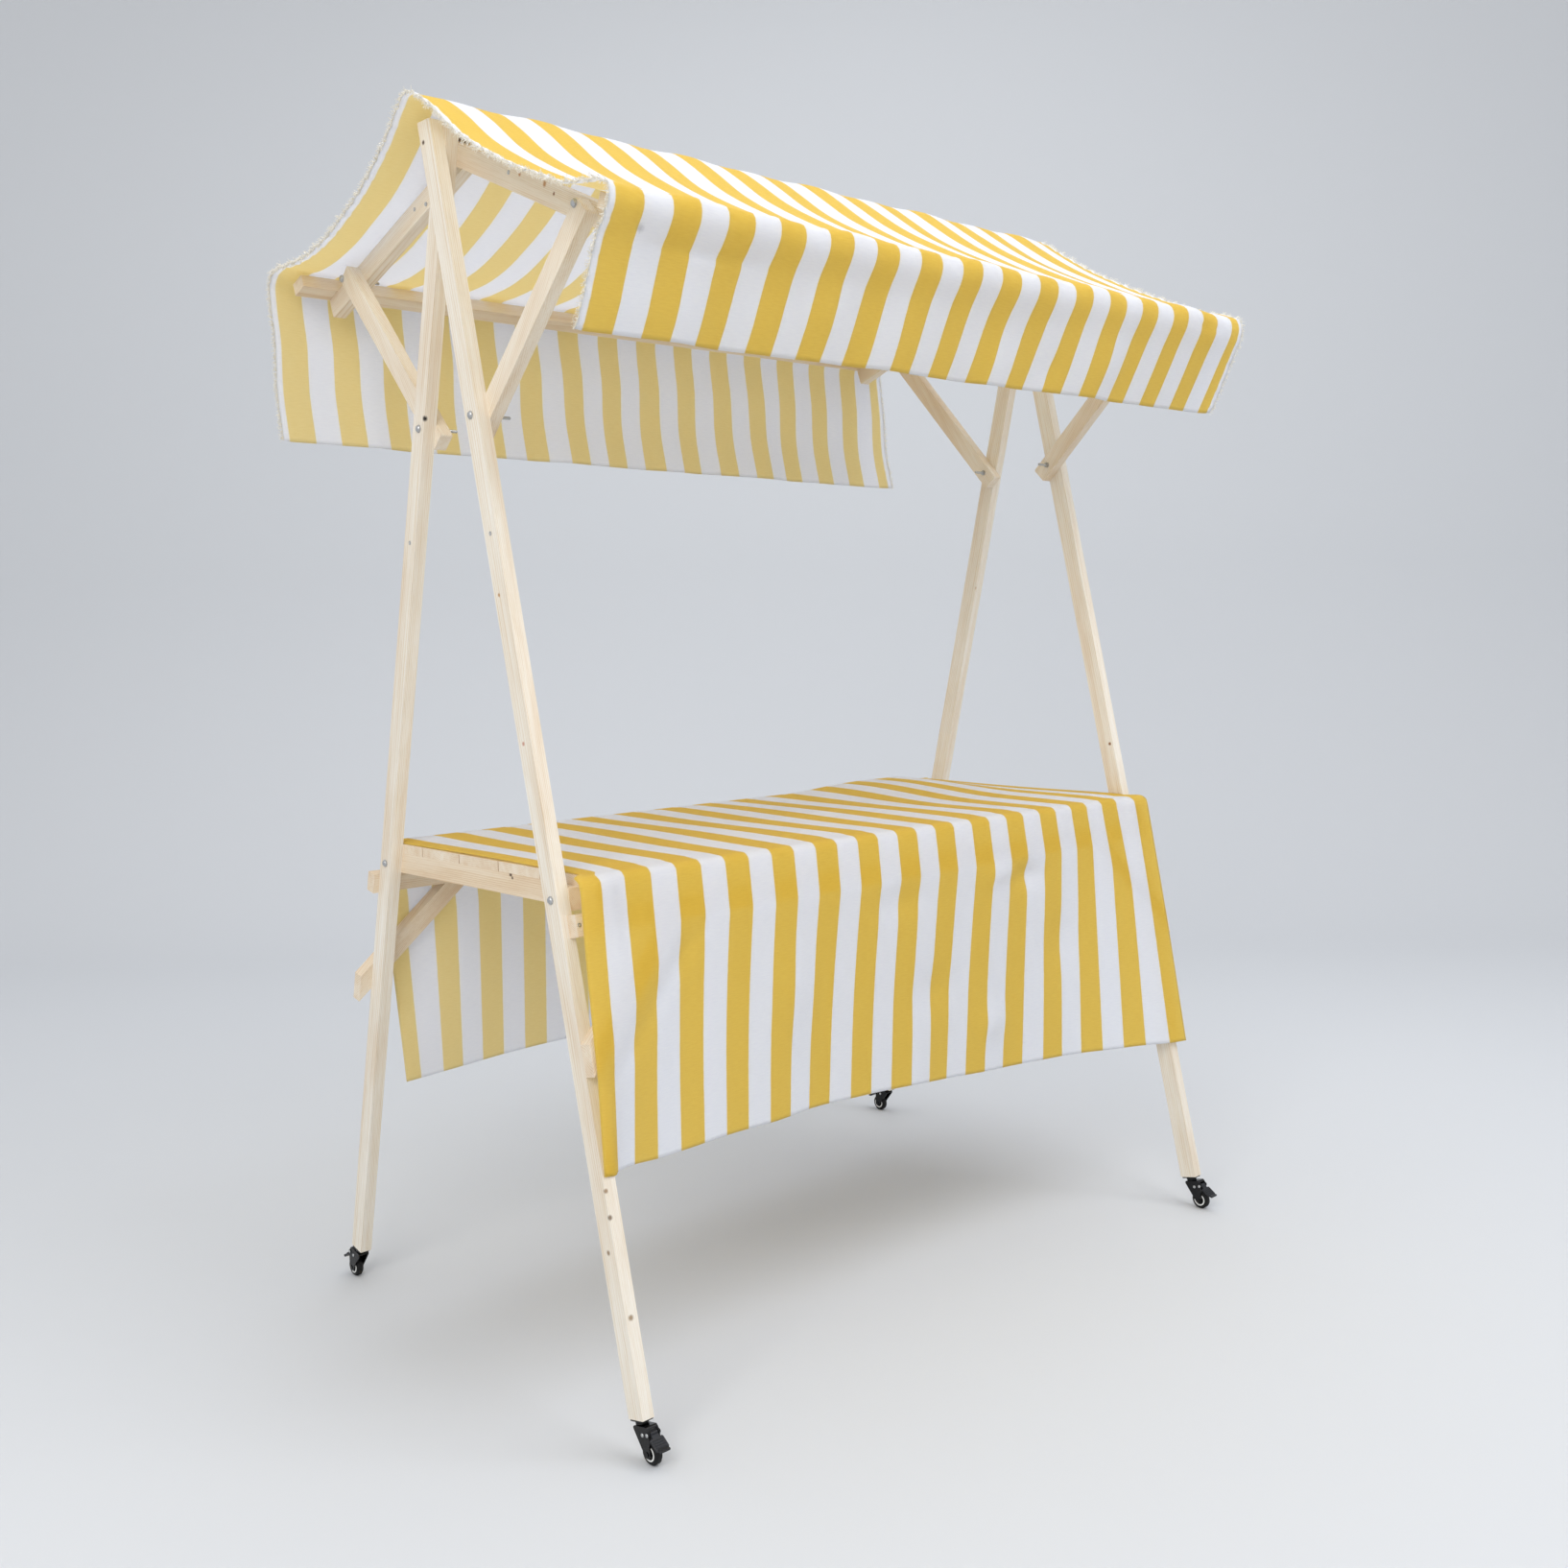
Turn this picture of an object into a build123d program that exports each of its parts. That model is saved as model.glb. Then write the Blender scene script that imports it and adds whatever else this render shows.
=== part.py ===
from build123d import *
import math
import os

# A market stall on casters: two crossed end frames of pine battens, a roof of
# three purlins under a striped cloth, and a counter with a striped cloth.
# Millimetres, +Z up. X runs along the counter, the customers stand at -Y.
# The origin is on the floor, in the middle of the stall.

# Battens: one planed section for the whole frame
BATTEN_T = 24.0
BATTEN_W = 38.0

# End frames
FRAME_LENGTH = 1630.0  # over the outer faces of the two end frames
FOOT_SPREAD = 980.0  # between the centres of the front and back leg ends
LEG_END_Z = 68.0  # height of the centre of a leg's lower end
APEX_Z = 2160.0  # height of the bolt where legs and rafters cross
LEG_PAST_APEX = 46.0  # the legs' upper ends are cut level, so far above it
ROOF_ANGLE_FRONT = 24.2  # degrees
ROOF_ANGLE_BACK = 20.0
RAFTER_REACH = 506.0  # from the apex to a rafter's lower end, level
RAFTER_PAST_APEX = 34.0
STRUT_ON_LEG = 460.0  # from the apex down to the strut's bolt in the leg
STRUT_FROM_EAVE = 110.0  # from a rafter's lower end to the strut's bolt, level
STRUT_PAST_LEG = 34.0
STRUT_PAST_RAFTER = 12.0
END_ROUND = 4.0  # eased corners of battens that stick out

# Purlins
EAVE_PURLIN_FROM_END = 18.0  # its middle, from the rafters' lower ends, level
RIDGE_PURLIN_W = 50.0

# Counter
COUNTER_BAR_Z = 894.0  # middle of the end bars that carry the counter boards
COUNTER_BAR_PAST_RAIL = 7.0
COUNTER_BOARD_T = 18.0
COUNTER_BOARD_DEPTH = 128.0
COUNTER_BOARD_GAP = 3.0
COUNTER_BOARDS = 5
BRACE_FOOT_Z = 655.0  # height of a knee brace's bolt in the leg
BRACE_ANGLE = 45.0
RAIL_FROM_END = 13.0  # a rail stops short of the outermost leg's face

# Cloths
CLOTH_T = 2.0
CLOTH_GAP = 0.3  # between a cloth and what it lies on
CURVE_STEPS = 6  # flats to a fold; a slope has twice as many
ROOF_CLOTH_PAST_END = 38.0  # beyond the outermost leg
ROOF_SAG_FRONT = 32.0  # between the ridge and the eave purlin, at the middle
ROOF_SAG_BACK = 40.0
ROOF_FOLD_OUT = 22.0  # the stiff cotton turns down so far beyond the eave purlin
ROOF_FOLD_RISE = 13.0  # and so far above the purlin's outer edge
ROOF_FOLD_R = 12.0
ROOF_DROP_FRONT = 188.0  # valance, from the eave fold to its hem
ROOF_DROP_BACK = 314.0
ROOF_LEAN_FRONT = 76.0  # a valance's hem hangs so far inside its fold
ROOF_LEAN_BACK = 30.0
COUNTER_CLOTH_FROM_END = 5.0  # its drops stop short of the outermost leg's face
COUNTER_DROP_LEFT = 462.0  # front drop, from the counter bars' top to the hem
COUNTER_DROP_RIGHT = 541.0
COUNTER_DROP_BACK = 475.0
COUNTER_FOLD_H = 5.0  # the cloth turns down over the bars' ends so far, then its drops start
COUNTER_DROP_MIDDLE = 430.0  # half the length over which a drop hangs straight
COUNTER_DRAWN_IN = 10.0  # its hem is drawn in so far there
COUNTER_ASKEW = 62.0
CLOTH_PAST_BRACE = 3.0  # drops stand off the rails, knee braces and legs

# Casters
WHEEL_D = 40.0
WHEEL_W = 14.0
CASTER_TRAIL = 15.0
PLATE_T = 2.5
PLATE_L = 34.0
PLATE_R = 3.0
RACE_D = 22.0
RACE_H = 6.0
RACE_CHAMFER = 1.0
KING_PIN_D = 7.0
KING_PIN_HEAD_D = 11.0
KING_PIN_HEAD_T = 2.0
PIN_CLEARANCE = 0.3
SWIVEL_GAP = 0.5
CROWN_T = 4.0
CHEEK_T = 2.5
CHEEK_ROUND_AXLE = 3.0  # a cheek's metal round the axle's head
CHEEK_GAP = 2.0  # between the tyre and a cheek of the fork
AXLE_D = 5.0
AXLE_HEAD_D = 8.0
AXLE_HEAD_T = 1.2
HUB_D = 24.0
HUB_DISH = 1.6
TYRE_SHOULDER = 3.0
PEDAL_PIN_D = 4.0
PEDAL_PIN_Y = 25.0  # pedal pin, out from the swivel axis
PEDAL_PIN_DROP = 21.0  # pedal pin, down from the leg's end
PEDAL_ARM_W = 14.0
PEDAL_PAD_W = 26.0
PEDAL_T = 3.5
PEDAL_SLOPE = 48.0  # degrees below level when the brake is on
PEDAL_PAD_START = 9.0
PEDAL_PAD_L = 22.0
PEDAL_LIP_L = 8.0
PEDAL_LIP_LAP = 2.0
PEDAL_INSET = 3.0  # ribs and lip, from the pad's sides; its corners have this radius
PEDAL_RIB = 1.0
PEDAL_RIBS = 4
PEDAL_SHOE_GAP = 0.5

LEG_RUN = FOOT_SPREAD / 2
LEG_RISE = APEX_Z - LEG_END_Z
SPLAY = math.degrees(math.atan2(LEG_RUN, LEG_RISE))
HALF_LENGTH = FRAME_LENGTH / 2
SIN_SPLAY = math.sin(math.radians(SPLAY))
COS_SPLAY = math.cos(math.radians(SPLAY))
EAVE_PURLIN_Y = RAFTER_REACH - EAVE_PURLIN_FROM_END
# From the leg's end to the axle along the swivel axis, so the tyre meets the floor
CASTER_DROP = (LEG_END_Z - WHEEL_D / 2 + CASTER_TRAIL * SIN_SPLAY) / COS_SPLAY

os.makedirs("parts", exist_ok=True)
parts = {}


def leg_y(z):
    """Distance of a leg's centre line from the middle at height z."""
    return (APEX_Z - z) * LEG_RUN / LEG_RISE


def face_y(z, out):
    """Distance from the middle to a plane so far out from the legs' outer faces."""
    return leg_y(z) + (BATTEN_W / 2 + out) / COS_SPLAY


def pitch(side):
    """Roof pitch in degrees; side -1 is front."""
    return ROOF_ANGLE_FRONT if side < 0 else ROOF_ANGLE_BACK


def rafter_z(side, y):
    """Height of a rafter's centre line at a distance y from the middle."""
    return APEX_Z - y * math.tan(math.radians(pitch(side)))


def on_rafter(side, y, along, up):
    """(y, z) of a point beside a rafter's centre line at a distance y.

    It lies so far down along the rafter, and so far up square to it.
    """
    slope = math.radians(pitch(side))
    out = y + along * math.cos(slope) + up * math.sin(slope)
    height = rafter_z(side, y) - along * math.sin(slope) + up * math.cos(slope)
    return side * out, height


def layer_x(layer):
    """Outer face of a batten layer of the left end frame; 1 is outermost."""
    return -HALF_LENGTH + (layer - 1) * BATTEN_T


def direction(start, end):
    """Unit vector from start to end, both (y, z)."""
    length = math.dist(start, end)
    return (end[0] - start[0]) / length, (end[1] - start[1]) / length


def end_frame_batten(start, end, past_start, past_end, layer, rounded=True):
    """A batten of the left end frame, its centre line through two (y, z)."""
    u = direction(start, end)
    length = math.dist(start, end) + past_start + past_end
    middle = (past_end - past_start + math.dist(start, end)) / 2
    centre = (start[0] + u[0] * middle, start[1] + u[1] * middle)
    outline = Rectangle(length, BATTEN_W)
    if rounded:
        outline = fillet(outline.vertices(), END_ROUND)
    outline = outline.rotate(Axis.Z, math.degrees(math.atan2(u[1], u[0])))
    plane = Plane(origin=(layer_x(layer), centre[0], centre[1]), x_dir=(0, 1, 0), z_dir=(1, 0, 0))
    return extrude(plane * outline, BATTEN_T)


def leg(side, layer):
    """A leg from its square-cut lower end to its level top; side -1 is front."""
    foot = (side * LEG_RUN, LEG_END_Z)
    apex = (0.0, APEX_Z)
    spare = LEG_PAST_APEX + BATTEN_W
    batten = end_frame_batten(foot, apex, 0, spare, layer, rounded=False)
    above = Box(2 * FRAME_LENGTH, 2 * spare, 2 * spare)
    return batten - Pos(0, 0, APEX_Z + LEG_PAST_APEX + spare) * above


def rafter(side, layer):
    apex = (0.0, APEX_Z)
    eave = (side * RAFTER_REACH, rafter_z(side, RAFTER_REACH))
    return end_frame_batten(apex, eave, RAFTER_PAST_APEX, 0, layer)


def strut(side, layer):
    low_z = APEX_Z - STRUT_ON_LEG
    low = (side * leg_y(low_z), low_z)
    bolt_y = RAFTER_REACH - STRUT_FROM_EAVE
    high = (side * bolt_y, rafter_z(side, bolt_y))
    return end_frame_batten(low, high, STRUT_PAST_LEG, STRUT_PAST_RAFTER, layer)


# The counter bars stand out a little over the rails below their ends
rail_top_z = COUNTER_BAR_Z - BATTEN_W / 2
counter_bar_reach = face_y(rail_top_z, BATTEN_T) + COUNTER_BAR_PAST_RAIL


def counter_bar(layer):
    front = (-counter_bar_reach, COUNTER_BAR_Z)
    back = (counter_bar_reach, COUNTER_BAR_Z)
    return end_frame_batten(front, back, 0, 0, layer)


def counter_spacer(side, layer):
    """Block between the outermost leg and the counter bar, one layer thick."""
    y = side * leg_y(COUNTER_BAR_Z)
    low = (y, COUNTER_BAR_Z - BATTEN_W / 2)
    high = (y, COUNTER_BAR_Z + BATTEN_W / 2)
    return end_frame_batten(low, high, 0, 0, layer, rounded=False)


# The battens of an end frame are bolted face to face in four layers. The front
# leg is outermost at the left end and the back leg at the right end.
SIDE_NAMES = {-1: "front", 1: "back"}
for end_name, outer in (("left", -1), ("right", 1)):
    inner = -outer
    battens = {
        f"{SIDE_NAMES[outer]}_{end_name}_leg": leg(outer, 1),
        f"{SIDE_NAMES[inner]}_{end_name}_leg": leg(inner, 2),
        f"{SIDE_NAMES[outer]}_{end_name}_strut": strut(outer, 2),
        f"{SIDE_NAMES[inner]}_{end_name}_strut": strut(inner, 3),
        f"{SIDE_NAMES[outer]}_{end_name}_rafter": rafter(outer, 3),
        f"{SIDE_NAMES[inner]}_{end_name}_rafter": rafter(inner, 4),
        f"{end_name}_counter_bar": counter_bar(3),
        f"{end_name}_counter_spacer": counter_spacer(outer, 2),
    }
    for name, shape in battens.items():
        parts[name] = shape if end_name == "left" else shape.mirror(Plane.YZ)


# Outlines drawn as (y, z) lie on this plane
SIDE_VIEW = Plane(origin=(0, 0, 0), x_dir=(0, 1, 0), z_dir=(1, 0, 0))


def along_x(outline, length):
    """An outline drawn in (y, z) run along X about the middle."""
    return extrude(SIDE_VIEW * outline, length / 2, both=True)


# Purlins: the eave purlins lie flat on the rafters and end level with the legs.
# The ridge purlin stands on edge in the notch where the rafters cross, between
# the two pairs of legs.
def eave_purlin(side):
    at = on_rafter(side, EAVE_PURLIN_Y, 0, (BATTEN_W + BATTEN_T) / 2)
    section = Rectangle(BATTEN_W, BATTEN_T).rotate(Axis.Z, -side * pitch(side))
    return along_x(Pos(*at) * section, FRAME_LENGTH)


def notch_z(side):
    """Height of a rafter's upper edge where it meets the ridge purlin's corner."""
    slope = math.radians(pitch(side))
    return APEX_Z + BATTEN_W / 2 / math.cos(slope) + BATTEN_T / 2 * math.tan(slope)


ridge_bottom_z = max(notch_z(-1), notch_z(1))
ridge_top_z = ridge_bottom_z + RIDGE_PURLIN_W
ridge_section = Rectangle(BATTEN_T, RIDGE_PURLIN_W)
parts["front_eave_purlin"] = eave_purlin(-1)
parts["back_eave_purlin"] = eave_purlin(1)
parts["ridge_purlin"] = along_x(
    Pos(0, (ridge_bottom_z + ridge_top_z) / 2) * ridge_section, FRAME_LENGTH - 4 * BATTEN_T
)


# Counter rails and knee braces lie on the outer faces of the legs, so they are
# drawn flat and then leaned to the legs' splay.
def on_leg_face(side, shape):
    """Move a shape drawn flat, inner face on y=0, to the legs' outer faces.

    The drawn shape lies towards -Y, and its z runs along the leg, with 0 level
    with the apex bolt.
    """
    placed = Pos(0, -BATTEN_W / 2, 0) * shape
    placed = placed.rotate(Axis.X, -SPLAY)
    placed = Pos(0, 0, APEX_Z) * placed
    return placed if side < 0 else placed.mirror(Plane.XZ)


def drawn_z(height, out):
    """Drawn z of a point at a height, so far out from the legs' outer faces."""
    return (height - APEX_Z - (BATTEN_W / 2 + out) * SIN_SPLAY) / COS_SPLAY


# The rail's upper outer edge is under the counter bars' ends
rail_top = drawn_z(rail_top_z, BATTEN_T)


def counter_rail(side):
    length = FRAME_LENGTH - 2 * RAIL_FROM_END
    rail = Pos(0, -BATTEN_T / 2, rail_top - BATTEN_W / 2) * Box(length, BATTEN_T, BATTEN_W)
    return on_leg_face(side, rail)


def knee_brace(side, end):
    """A brace from a leg up to the rail; end -1 is left, 1 is right.

    Its foot is cut upright, level with the outermost leg's face, and its head
    is cut level under the rail.
    """
    foot = (-HALF_LENGTH + BATTEN_T / 2, drawn_z(BRACE_FOOT_Z, BATTEN_T))
    head_z = rail_top - BATTEN_W
    reach = 2 * (head_z - foot[1])
    bar = Rectangle(2 * reach, BATTEN_W).rotate(Axis.Z, BRACE_ANGLE)
    bar = Pos(*foot) * bar
    kept = Pos(-HALF_LENGTH + reach, head_z - reach) * Rectangle(2 * reach, 2 * reach)
    flat = Plane(origin=(0, 0, 0), x_dir=(1, 0, 0), z_dir=(0, -1, 0))
    brace = extrude(flat * (bar & kept), BATTEN_T)
    if end > 0:
        brace = brace.mirror(Plane.YZ)
    return on_leg_face(side, brace)


for side, side_name in SIDE_NAMES.items():
    parts[f"{side_name}_counter_rail"] = counter_rail(side)
    for end, end_name in ((-1, "left"), (1, "right")):
        parts[f"{side_name}_{end_name}_knee_brace"] = knee_brace(side, end)


# Counter boards, side by side on the two end bars
board_length = FRAME_LENGTH - 4 * BATTEN_T
board_bottom_z = COUNTER_BAR_Z + BATTEN_W / 2
board_pitch = COUNTER_BOARD_DEPTH + COUNTER_BOARD_GAP
for i in range(COUNTER_BOARDS):
    y = (i - (COUNTER_BOARDS - 1) / 2) * board_pitch
    board = Box(board_length, COUNTER_BOARD_DEPTH, COUNTER_BOARD_T)
    parts[f"counter_board_{i + 1}"] = Pos(0, y, board_bottom_z + COUNTER_BOARD_T / 2) * board


# Cloths: each is one thin sheet bent over its edges and run along X
def thin_sheet(points, length):
    """A thin sheet along X; the outer face stands CLOTH_T off the inner one."""
    inner = [Vector(y, z) for y, z in points]
    outer = []
    for i, p in enumerate(inner):
        before = (inner[i] - inner[i - 1]).normalized() if i > 0 else None
        after = (inner[i + 1] - inner[i]).normalized() if i < len(inner) - 1 else None
        before = before or after
        after = after or before
        n1 = Vector(-before.Y, before.X)
        n2 = Vector(-after.Y, after.X)
        bisector = (n1 + n2).normalized()
        outer.append(p + bisector * (CLOTH_T / bisector.dot(n1)))
    outline = Polyline(*[(v.X, v.Y) for v in inner + outer[::-1]], close=True)
    return along_x(make_face(outline), length)


def roof_half(side):
    """Roof cloth from the front or back hem to the ridge, as (y, z)."""
    front = side < 0
    drop = ROOF_DROP_FRONT if front else ROOF_DROP_BACK
    lean = ROOF_LEAN_FRONT if front else ROOF_LEAN_BACK
    sag = ROOF_SAG_FRONT if front else ROOF_SAG_BACK
    purlin_top = BATTEN_W / 2 + BATTEN_T + CLOTH_GAP
    seat = on_rafter(side, EAVE_PURLIN_Y, -BATTEN_W / 2, purlin_top)
    edge = on_rafter(side, EAVE_PURLIN_Y, BATTEN_W / 2, purlin_top)
    ridge = (side * (BATTEN_T / 2 + CLOTH_GAP), ridge_top_z + CLOTH_GAP)
    fold_y = edge[0] + side * ROOF_FOLD_OUT
    fold_z = edge[1] + ROOF_FOLD_RISE - ROOF_FOLD_R
    points = [(fold_y - side * lean, fold_z - drop)]
    for i in range(CURVE_STEPS + 1):
        turn = math.pi / 2 * i / CURVE_STEPS
        y = fold_y - side * ROOF_FOLD_R * (1 - math.cos(turn))
        points.append((y, fold_z + ROOF_FOLD_R * math.sin(turn)))
    for i in range(2 * CURVE_STEPS + 1):
        t = i / (2 * CURVE_STEPS)
        y = seat[0] + (ridge[0] - seat[0]) * t
        z = seat[1] + (ridge[1] - seat[1]) * t - 4 * sag * t * (1 - t)
        points.append((y, z))
    return points


roof_points = roof_half(-1) + roof_half(1)[::-1]
parts["roof_cloth"] = thin_sheet(roof_points, FRAME_LENGTH + 2 * ROOF_CLOTH_PAST_END)


# Counter cloth: a sheet over the boards, which turns down past the counter bars'
# ends, and two drops. In the middle a drop hangs from the rail. Towards the
# ends it is bent out over a knee brace, and at the ends over a leg.
cloth_top_z = board_bottom_z + COUNTER_BOARD_T + CLOTH_GAP
cloth_edge_y = (COUNTER_BOARDS * board_pitch - COUNTER_BOARD_GAP) / 2 + CLOTH_GAP
cloth_bar_y = counter_bar_reach + CLOTH_GAP
cloth_bar_z = board_bottom_z + CLOTH_GAP
drop_top_z = cloth_bar_z - COUNTER_FOLD_H
brace_slope = math.radians(BRACE_ANGLE)
brace_rise = math.tan(brace_slope) * COS_SPLAY
brace_below_bolt = BATTEN_T / 2 * math.tan(brace_slope) + BATTEN_W / 2 / math.cos(brace_slope)
brace_low_z = BRACE_FOOT_Z - brace_below_bolt * COS_SPLAY
rail_low_z = rail_top_z - BATTEN_W * COS_SPLAY
brace_head_x = HALF_LENGTH - (rail_low_z - brace_low_z) / brace_rise
counter_cloth_half = HALF_LENGTH - COUNTER_CLOTH_FROM_END


def counter_top():
    """The sheet between the legs, with a short upright turn-down at each edge."""
    half = [(cloth_bar_y, drop_top_z), (cloth_bar_y, cloth_bar_z), (cloth_edge_y, cloth_top_z)]
    points = [(-y, z) for y, z in half] + half[::-1]
    return thin_sheet(points, board_length - 2 * CLOTH_GAP)


def drop_bend(x):
    """(y, z) where a drop leaves the rail, or the knee brace under it."""
    z = min(rail_low_z, brace_low_z + (HALF_LENGTH - abs(x)) * brace_rise)
    return face_y(z, BATTEN_T) + CLOTH_PAST_BRACE, z


def drop_section(side, x, hem_z):
    """A drop cut across at x, down to its hem."""
    bend = drop_bend(x)
    hem_y = bend[0]
    if abs(x) <= COUNTER_DROP_MIDDLE:
        hem_y -= COUNTER_DRAWN_IN
    if abs(x) >= HALF_LENGTH - 2 * BATTEN_T:
        hem_y = face_y(hem_z, 0) + CLOTH_PAST_BRACE
    inner = [(cloth_bar_y, drop_top_z), bend, (hem_y, hem_z)]
    outer = [(y + CLOTH_T, z) for y, z in inner]
    outline = Polyline(*[(side * y, z) for y, z in inner + outer[::-1]], close=True)
    return Pos(x, 0, 0) * (SIDE_VIEW * make_face(outline))


def counter_drop(side, left_x, right_x, left_drop, right_drop):
    """A drop of the counter cloth from left_x to right_x; its hem is straight."""
    at_leg = HALF_LENGTH - 2 * BATTEN_T
    bends = (-at_leg, -brace_head_x, -COUNTER_DROP_MIDDLE)
    stations = [left_x] + [x for x in bends if x > left_x]
    stations += [COUNTER_DROP_MIDDLE, brace_head_x, at_leg, right_x]
    sections = []
    for x in stations:
        t = (x - left_x) / (right_x - left_x)
        drop = left_drop + (right_drop - left_drop) * t
        sections.append(drop_section(side, x, cloth_bar_z - drop))
    return loft(sections, ruled=True)


counter_cloth = counter_top()
counter_cloth += counter_drop(
    -1, -counter_cloth_half, counter_cloth_half, COUNTER_DROP_LEFT, COUNTER_DROP_RIGHT
)
# The cloth lies a little askew, so its back drop starts further from the left end
counter_cloth += counter_drop(
    1, COUNTER_ASKEW - counter_cloth_half, counter_cloth_half, COUNTER_DROP_BACK, COUNTER_DROP_BACK
)
parts["counter_cloth"] = counter_cloth


# Casters, drawn with the leg's end centre as origin, the swivel axis along Z
# and the wheel trailing towards -Y.
fork_inner = WHEEL_W / 2 + CHEEK_GAP
fork_outer = fork_inner + CHEEK_T
crown_top = -(PLATE_T + RACE_H + SWIVEL_GAP)
crown_bottom = crown_top - CROWN_T
axle_at = (-CASTER_TRAIL, -CASTER_DROP)
pedal_pin_at = (-PEDAL_PIN_Y, -PEDAL_PIN_DROP)


def pin(at, diameter, half_width):
    """A pin across the fork, its centre at (y, z)."""
    circle = Pos(*at) * Circle(diameter / 2)
    return extrude(SIDE_VIEW * circle, half_width, both=True)


def caster_plate():
    plate = Pos(0, 0, -PLATE_T / 2) * Box(BATTEN_T, PLATE_L, PLATE_T)
    plate = fillet(plate.edges().filter_by(Axis.Z), PLATE_R)
    race = Pos(0, 0, -PLATE_T - RACE_H / 2) * Cylinder(RACE_D / 2, RACE_H)
    race = chamfer(race.faces().sort_by(Axis.Z)[0].edges(), RACE_CHAMFER)
    pin_bottom = crown_bottom - SWIVEL_GAP
    king_pin = Pos(0, 0, pin_bottom / 2) * Cylinder(KING_PIN_D / 2, -pin_bottom)
    head = Pos(0, 0, pin_bottom - KING_PIN_HEAD_T / 2) * Cylinder(KING_PIN_HEAD_D / 2, KING_PIN_HEAD_T)
    return plate + race + king_pin + head


def fork():
    back_y = RACE_D / 2
    front_y = -PEDAL_PIN_Y - PEDAL_PIN_D
    cheek_end = AXLE_HEAD_D / 2 + CHEEK_ROUND_AXLE
    outline = make_hull(
        [
            *(Pos(axle_at[0], axle_at[1]) * Circle(cheek_end)).edges(),
            *(Pos(pedal_pin_at[0], pedal_pin_at[1]) * Circle(PEDAL_PIN_D)).edges(),
            *(Pos((back_y - CROWN_T), crown_top - CROWN_T) * Circle(CROWN_T)).edges(),
            *(Pos((front_y + 2 * CROWN_T), crown_top - CROWN_T) * Circle(CROWN_T)).edges(),
        ]
    )
    body = extrude(SIDE_VIEW * outline, fork_outer, both=True)
    inside = Pos(0, 0, crown_bottom - CASTER_DROP) * Box(
        2 * fork_inner, 4 * CASTER_DROP, 2 * CASTER_DROP
    )
    body -= inside
    body -= Cylinder(KING_PIN_D / 2 + PIN_CLEARANCE, 4 * CASTER_DROP)
    body += pin(axle_at, AXLE_D, fork_outer + AXLE_HEAD_T / 2)
    body += pin(pedal_pin_at, PEDAL_PIN_D, fork_outer + AXLE_HEAD_T / 2)
    for x in (-fork_outer - AXLE_HEAD_T / 2, fork_outer + AXLE_HEAD_T / 2):
        plane = Plane(origin=(x, 0, 0), x_dir=(0, 1, 0), z_dir=(1, 0, 0))
        for at in (axle_at, pedal_pin_at):
            head = plane * (Pos(*at) * Circle(AXLE_HEAD_D / 2))
            body += extrude(head, AXLE_HEAD_T / 2, both=True)
    return body


def wheel():
    r = WHEEL_D / 2
    w = WHEEL_W / 2
    bore = AXLE_D / 2 + PIN_CLEARANCE
    boss = AXLE_D
    hub = HUB_D / 2
    profile = Polyline(
        (bore, -w - CHEEK_GAP / 2),
        (boss, -w - CHEEK_GAP / 2),
        (boss, -w + HUB_DISH),
        (hub - HUB_DISH, -w + HUB_DISH),
        (hub, -w),
        (r - TYRE_SHOULDER, -w),
        (r, -w + TYRE_SHOULDER),
        (r, w - TYRE_SHOULDER),
        (r - TYRE_SHOULDER, w),
        (hub, w),
        (hub - HUB_DISH, w - HUB_DISH),
        (boss, w - HUB_DISH),
        (boss, w + CHEEK_GAP / 2),
        (bore, w + CHEEK_GAP / 2),
        close=True,
    )
    turned = revolve(Plane.XZ * make_face(profile), Axis.Z)
    turned = turned.rotate(Axis.Y, 90)
    return Pos(0, *axle_at) * turned


def brake_pedal():
    """Brake pedal at rest with the brake on, its shoe close to the tyre."""
    eye = Circle(PEDAL_PIN_D)
    arm = Pos(-PEDAL_PAD_START / 2, 0) * Rectangle(PEDAL_PAD_START, PEDAL_T)
    arm_shape = extrude(SIDE_VIEW * (eye + arm), PEDAL_ARM_W / 2, both=True)
    pad_centre = PEDAL_PAD_START + PEDAL_PAD_L / 2
    pad = Pos(0, -pad_centre, 0) * Box(PEDAL_PAD_W, PEDAL_PAD_L, PEDAL_T)
    pad = fillet(pad.edges().filter_by(Axis.Z), PEDAL_INSET)
    pedal = arm_shape + pad
    ribbed_w = PEDAL_PAD_W - 2 * PEDAL_INSET
    rib_step = PEDAL_PAD_L / (PEDAL_RIBS + 1)
    for i in range(PEDAL_RIBS):
        y = -PEDAL_PAD_START - rib_step * (i + 1)
        rib = Pos(0, y, PEDAL_T / 2) * Box(ribbed_w, PEDAL_RIB, 2 * PEDAL_RIB)
        pedal += rib
    lip = Pos(0, -PEDAL_LIP_L / 2, 0) * Box(ribbed_w, PEDAL_LIP_L, PEDAL_T)
    lip = lip.rotate(Axis.X, -PEDAL_SLOPE / 2)
    pedal += Pos(0, -PEDAL_PAD_START - PEDAL_PAD_L + PEDAL_LIP_LAP, 0) * lip
    pedal = pedal.rotate(Axis.X, PEDAL_SLOPE)
    pedal = Pos(0, *pedal_pin_at) * pedal
    pedal -= pin(pedal_pin_at, PEDAL_PIN_D + 2 * PIN_CLEARANCE, PEDAL_PAD_W)
    tyre = Pos(0, *axle_at) * Cylinder(
        WHEEL_D / 2 + PEDAL_SHOE_GAP, 2 * PEDAL_PAD_W, rotation=(0, 90, 0)
    )
    return pedal - tyre


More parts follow.
